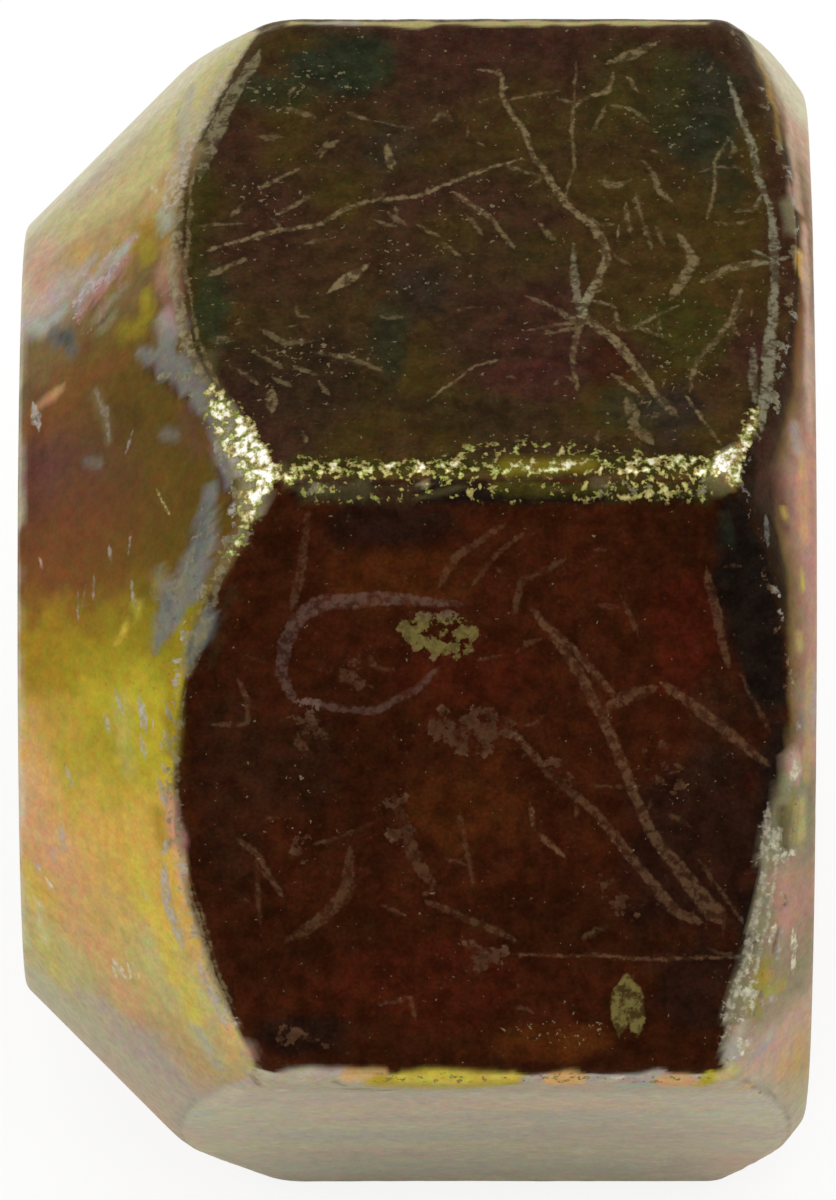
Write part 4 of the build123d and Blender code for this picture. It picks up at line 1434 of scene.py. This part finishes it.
def makeWornMask():
    # Worn share of the surface as ragged islands: 1 where the noise is above 1 - share
    inputs = [("Share", "Float", 0.0), ("Noise", "Float", 0.5), ("Soft", "Float", 0.05)]
    tree, given, result = startGroup("wornMask", inputs, [("Mask", "Float")])
    level = ramped(tree, given["Noise"], *noiseSpan, 0.0, 0.85)
    rest = sums(tree, "SUBTRACT", sums(tree, "ADD", level, given["Share"]), 1.0)
    mask = ramped(tree, rest, sums(tree, "MULTIPLY", given["Soft"], -1.0), given["Soft"])
    tree.links.new(mask, result["Mask"])
    return tree


grain = {
    "fineScale": 11,
    "broadScale": 1.7,
    "fineSwing": (0.93, -0.13, 1.05, 0.15),     # see swing below
    "broadSwing": (0.94, -0.24, 1.05, 0.24),
    "mottleScale": 3.2,
    "mottle": 0.7,              # how far the hue drifts
    "mottleBase": 0.65,
    "darkest": (0.015, 0.06),   # light of the film that counts as dark: dark film varies more
    "cellScale": 4.6,
    "flakeLevel": (0.74, 0.62),                 # the noise it takes where Specks is 0 and 1
    "dotSize": (0.06, 0.22),                    # least and greatest, as parts of a cell
    "dotChance": (0.72, 1),                     # of a cell's random number
    "pitSize": (0.1, 0.26),                     # its floor and its rim
    "pitChance": (0.85, 1),
    "flakes": 0.62,             # strengths of the marks
    "dots": 0.42,
    "pits": 0.3,
    "flakeColour": (0.22, 0.18, 0.1, 1),
    "pitColour": (0.06, 0.045, 0.03, 1),
}


def makePlateGrain():
    # Film colour with grain and drift, and with pale flakes where the noise is above a level that falls as
    # Specks nears 1. Grain is the fine noise, for the bump.
    inputs = [("Film", "Color", (1, 1, 1, 1)), ("Place", "Vector", (0, 0, 0)), ("Specks", "Float", 0.0),
              ("Ragged", "Float", 0.5)]
    tree, given, result = startGroup("plateGrain", inputs, [("Color", "Color"), ("Grain", "Float")])
    place = given["Place"]
    lightness = node(tree, "ShaderNodeRGBToBW", {0: given["Film"]}).outputs[0]
    dark = ramped(tree, lightness, *grain["darkest"], 1.0, 0.0)
    fine = noise(tree, place, grain["fineScale"], detail=2, rough=0.7)
    broad = noise(tree, place, grain["broadScale"], detail=2, rough=0.65)

    def swing(value, low, lowDark, high, highDark):
        # The noise from low to high, each moved by its second number where the film is dark
        least = sums(tree, "MULTIPLY_ADD", dark, lowDark, low)
        most = sums(tree, "MULTIPLY_ADD", dark, highDark, high)
        return ramped(tree, value, *noiseSpan, least, most)

    fineValue = swing(fine, *grain["fineSwing"])
    broadValue = swing(broad, *grain["broadSwing"])
    lit = scaled(tree, given["Film"], sums(tree, "MULTIPLY", fineValue, broadValue))
    mottle = noise(tree, place, grain["mottleScale"], detail=3, rough=0.6, output=1)
    mottle = vectors(tree, "MULTIPLY_ADD", mottle, (grain["mottle"],) * 3, (grain["mottleBase"],) * 3)
    lit = vectors(tree, "MULTIPLY", lit, mottle)

    # Flakes of the noises, and a dot and a pit in some of the cells
    flakes = sums(tree, "MULTIPLY_ADD", sums(tree, "SUBTRACT", fine, 0.5), 0.35, given["Ragged"])
    level = span(tree, given["Specks"], *grain["flakeLevel"])
    flake = ramped(tree, sums(tree, "SUBTRACT", flakes, level), 0, 0.06, 0, grain["flakes"])
    flake = sums(tree, "MULTIPLY", flake, ramped(tree, given["Specks"], 0, 0.15))
    cells = node(tree, "ShaderNodeTexVoronoi", {"Vector": place, "Scale": grain["cellScale"]}).outputs
    chances = node(tree, "ShaderNodeSeparateColor", {0: cells["Color"]}).outputs
    size = span(tree, chances[2], *grain["dotSize"])
    dot = ramped(tree, cells["Distance"], size, sums(tree, "MULTIPLY", size, 0.4))
    dot = sums(tree, "MULTIPLY", dot, ramped(tree, chances[0], *grain["dotChance"], 0, grain["dots"]))
    dot = sums(tree, "MULTIPLY", dot, ramped(tree, given["Specks"], 0, 0.4))
    specked = mixed(tree, sums(tree, "MAXIMUM", flake, dot), lit, grain["flakeColour"])
    floor, rim = grain["pitSize"]
    pit = ramped(tree, cells["Distance"], rim, floor)
    pit = sums(tree, "MULTIPLY", pit, ramped(tree, chances[1], *grain["pitChance"]))
    pitted = mixed(tree, sums(tree, "MULTIPLY", pit, grain["pits"]), specked, grain["pitColour"])
    tree.links.new(pitted, result["Color"])
    tree.links.new(fine, result["Grain"])
    return tree


scratchLayer = makeScratchLayer()
wornMask = makeWornMask()
plateGrain = makePlateGrain()

plating = {
    "metallic": 1.0,
    "slantTint": (0.92, 0.86, 0.74, 1),      # how much of the light comes back at a slant
    "roughness": (0.34, 0.5),
    "raggedScale": 6.5,
    "crumpleScale": 4.2,
    "islandScale": 2.6,
    "wornSoft": 0.12,
    "wornStrength": 0.75,
    "scarSpan": (0.36, 0.62),   # of the noise that bared metal's light follows
    "scarLight": (0.62, 1.2),   # its colour is scaled between these
    # the painted highlight (sparkle)
    "foilScale": 5.0,
    "foilSpan": (0.28, 0.72),
    "foilRagged": 0.5,
    "hueSpan": (0.45, 0.58),    # of the islands' noise, from brass to green
    "tintFade": (0.7, 0.3),     # the tint fades in as the sparkle's level falls through these
    "glintEdge": (-0.06, 0.1),
    "glintShare": (0.04, 0.2),  # least sparkle share that shows, and where it shows in full
    "brassTint": (1.0, 0.88, 0.5, 1),
    "greenTint": (0.8, 0.9, 0.38, 1),
    "foil": [(0.0, (0.11, 0.1, 0.05)), (0.15, (0.22, 0.2, 0.115)), (0.35, (0.4, 0.37, 0.25)),
             (0.6, (0.7, 0.67, 0.53)), (0.85, (0.95, 0.94, 0.86))],
    "bumpStrength": 0.1,
    "bumpDepth": 0.03,          # mm
}


def shaded(tree, value, stops):
    # Colour ramp through the stops
    ramp = node(tree, "ShaderNodeValToRGB", {0: value})
    bands = ramp.color_ramp.elements
    while len(bands) < len(stops):
        bands.new(0.5)
    for band, (position, colour) in zip(bands, stops):
        band.position = position
        band.color = (*colour, 1)
    return ramp.outputs[0]


def makePlating():
    material = bpy.data.materials.new("yellowZincPlate")
    material.use_nodes = True
    tree = material.node_tree
    shader = tree.nodes["Principled BSDF"]
    shader.inputs["Metallic"].default_value = plating["metallic"]
    shader.inputs["Specular Tint"].default_value = plating["slantTint"]
    place = millimetres(tree)

    def reading(name):
        return node(tree, "ShaderNodeAttribute", attribute_name=name).outputs

    ragged = noise(tree, place, plating["raggedScale"], detail=2, rough=0.6)
    grained = placed(tree, plateGrain, Film=reading("film")["Color"], Place=place,
                     Specks=reading("specks")["Fac"], Ragged=ragged)
    crumple = noise(tree, place, plating["crumpleScale"], detail=2, rough=0.65, twist=0.4)
    islands = noise(tree, place, plating["islandScale"], detail=3, rough=0.68)

    # Bared metal: every layer of marks, and the worn islands
    scratches = None
    for n in range(len(scratchLayers)):
        layer = reading(f"scratch{n}")["Vector"]
        mask = placed(tree, scratchLayer, Layer=layer, Ragged=ragged, Broken=crumple)["Mask"]
        scratches = mask if scratches is None else sums(tree, "MAXIMUM", scratches, mask)
    worn = placed(tree, wornMask, Share=reading("bare")["Fac"], Noise=islands, Soft=plating["wornSoft"])
    worn = sums(tree, "MULTIPLY", worn["Mask"], plating["wornStrength"])
    opened = sums(tree, "MAXIMUM", scratches, worn)
    scarNoise = sums(tree, "MULTIPLY_ADD", ragged, 0.4, sums(tree, "MULTIPLY", crumple, 0.6))
    scarValue = ramped(tree, scarNoise, *plating["scarSpan"], *plating["scarLight"])
    scarred = scaled(tree, reading("scar")["Color"], scarValue)
    colour = mixed(tree, opened, grained["Color"], scarred)

    # Sparkle, a painted highlight like crumpled foil: cells of the noise above 1 - share, from olive to white
    cells = noise(tree, place, plating["foilScale"], detail=2, rough=0.6)
    share = reading("shine")["Fac"]
    level = ramped(tree, cells, *plating["foilSpan"])
    spark = sums(tree, "SUBTRACT", sums(tree, "ADD", level, share), 1.0)
    spark = sums(tree, "MULTIPLY_ADD", sums(tree, "SUBTRACT", ragged, 0.5), plating["foilRagged"], spark)
    hueShare = ramped(tree, islands, *plating["hueSpan"])
    hue = mixed(tree, hueShare, plating["brassTint"], plating["greenTint"])
    tinted = ramped(tree, spark, *plating["tintFade"])
    foil = mixed(tree, tinted, shaded(tree, spark, plating["foil"]), hue, "MULTIPLY")
    edge = ramped(tree, spark, *plating["glintEdge"])
    glinting = sums(tree, "MULTIPLY", edge, ramped(tree, share, *plating["glintShare"]))
    colour = mixed(tree, glinting, colour, foil)
    tree.links.new(colour, shader.inputs["Base Color"])

    rough = ramped(tree, crumple, *noiseSpan, *plating["roughness"])
    tree.links.new(rough, shader.inputs["Roughness"])
    depth = plating["bumpDepth"] * mm
    inputs = {"Strength": plating["bumpStrength"], "Distance": depth, "Height": grained["Grain"]}
    tree.links.new(node(tree, "ShaderNodeBump", inputs).outputs[0], shader.inputs["Normal"])
    return material


nutBody.data.materials.append(makePlating())
print("plating ready")


# Floor and world
studio = {
    "floorHalf": 1500,          # mm
    "floorColour": (0.93, 0.93, 0.92, 1),
    "floorRough": 0.9,
    "floorShine": 0.1,
    "floorSeen": 0.85,          # share of plain white in what the camera sees of the floor
    "light": 1.12,
    # Where the light differs: direction, the cosines to it where that starts and is full, and how much
    "lobes": [
        ((0, 0.66, 0.75), 0.55, 0.95, -0.12),
        ((0, -0.98, 0.2), 0.55, 0.95, -0.12),
        ((0, -0.25, 1), 0.93, 0.98, 1.5),
        ((-1, 0.1, 0), 0.5, 0.95, 0.2),
    ],
}


def makeFloor():
    half = studio["floorHalf"] * mm
    mesh = bpy.data.meshes.new("floor")
    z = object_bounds()[0].z
    corners = [(-half, -half, z), (half, -half, z), (half, half, z), (-half, half, z)]
    mesh.from_pydata(corners, [], [(0, 1, 2, 3)])
    floor = bpy.data.objects.new("floor", mesh)
    bpy.context.scene.collection.objects.link(floor)
    material = bpy.data.materials.new("paleFloor")
    material.use_nodes = True
    tree = material.node_tree
    shader = tree.nodes["Principled BSDF"]
    shader.inputs["Base Color"].default_value = studio["floorColour"]
    shader.inputs["Roughness"].default_value = studio["floorRough"]
    shader.inputs["Specular IOR Level"].default_value = studio["floorShine"]
    white = node(tree, "ShaderNodeEmission", {"Color": (1, 1, 1, 1), "Strength": 1.0}).outputs[0]
    rays = node(tree, "ShaderNodeLightPath").outputs
    seen = sums(tree, "MULTIPLY", rays["Is Camera Ray"], studio["floorSeen"])
    both = node(tree, "ShaderNodeMixShader", {0: seen, 1: shader.outputs[0], 2: white})
    tree.links.new(both.outputs[0], tree.nodes["Material Output"].inputs["Surface"])
    mesh.materials.append(material)


def makeWorld():
    # Soft white all round, a little dimmer behind and in front, brighter overhead and to the nose side
    world = bpy.data.worlds.new("softStudio")
    world.use_nodes = True
    tree = world.node_tree
    back = tree.nodes["Background"]
    towards = node(tree, "ShaderNodeTexCoord").outputs["Generated"]

    def lobe(direction, start, end):
        length = math.sqrt(sum(v * v for v in direction))
        aim = tuple(v / length for v in direction)
        facing = node(tree, "ShaderNodeVectorMath", {0: towards, 1: aim}, operation="DOT_PRODUCT")
        return ramped(tree, facing.outputs["Value"], start, end)

    level = studio["light"]
    for direction, start, end, amount in studio["lobes"]:
        level = sums(tree, "ADD", level, sums(tree, "MULTIPLY", lobe(direction, start, end), amount))
    tree.links.new(level, back.inputs["Strength"])
    back.inputs["Color"].default_value = (1, 1, 1, 1)
    white = node(tree, "ShaderNodeBackground", {"Color": (1, 1, 1, 1), "Strength": 1.0}).outputs[0]
    seen = node(tree, "ShaderNodeLightPath").outputs["Is Camera Ray"]
    both = node(tree, "ShaderNodeMixShader", {0: seen, 1: back.outputs[0], 2: white})
    tree.links.new(both.outputs[0], tree.nodes["World Output"].inputs["Surface"])
    world.cycles.sampling_method = "NONE"
    bpy.context.scene.world = world


makeFloor()
makeWorld()
bpy.context.scene.view_settings.view_transform = "Standard"
print("studio ready")
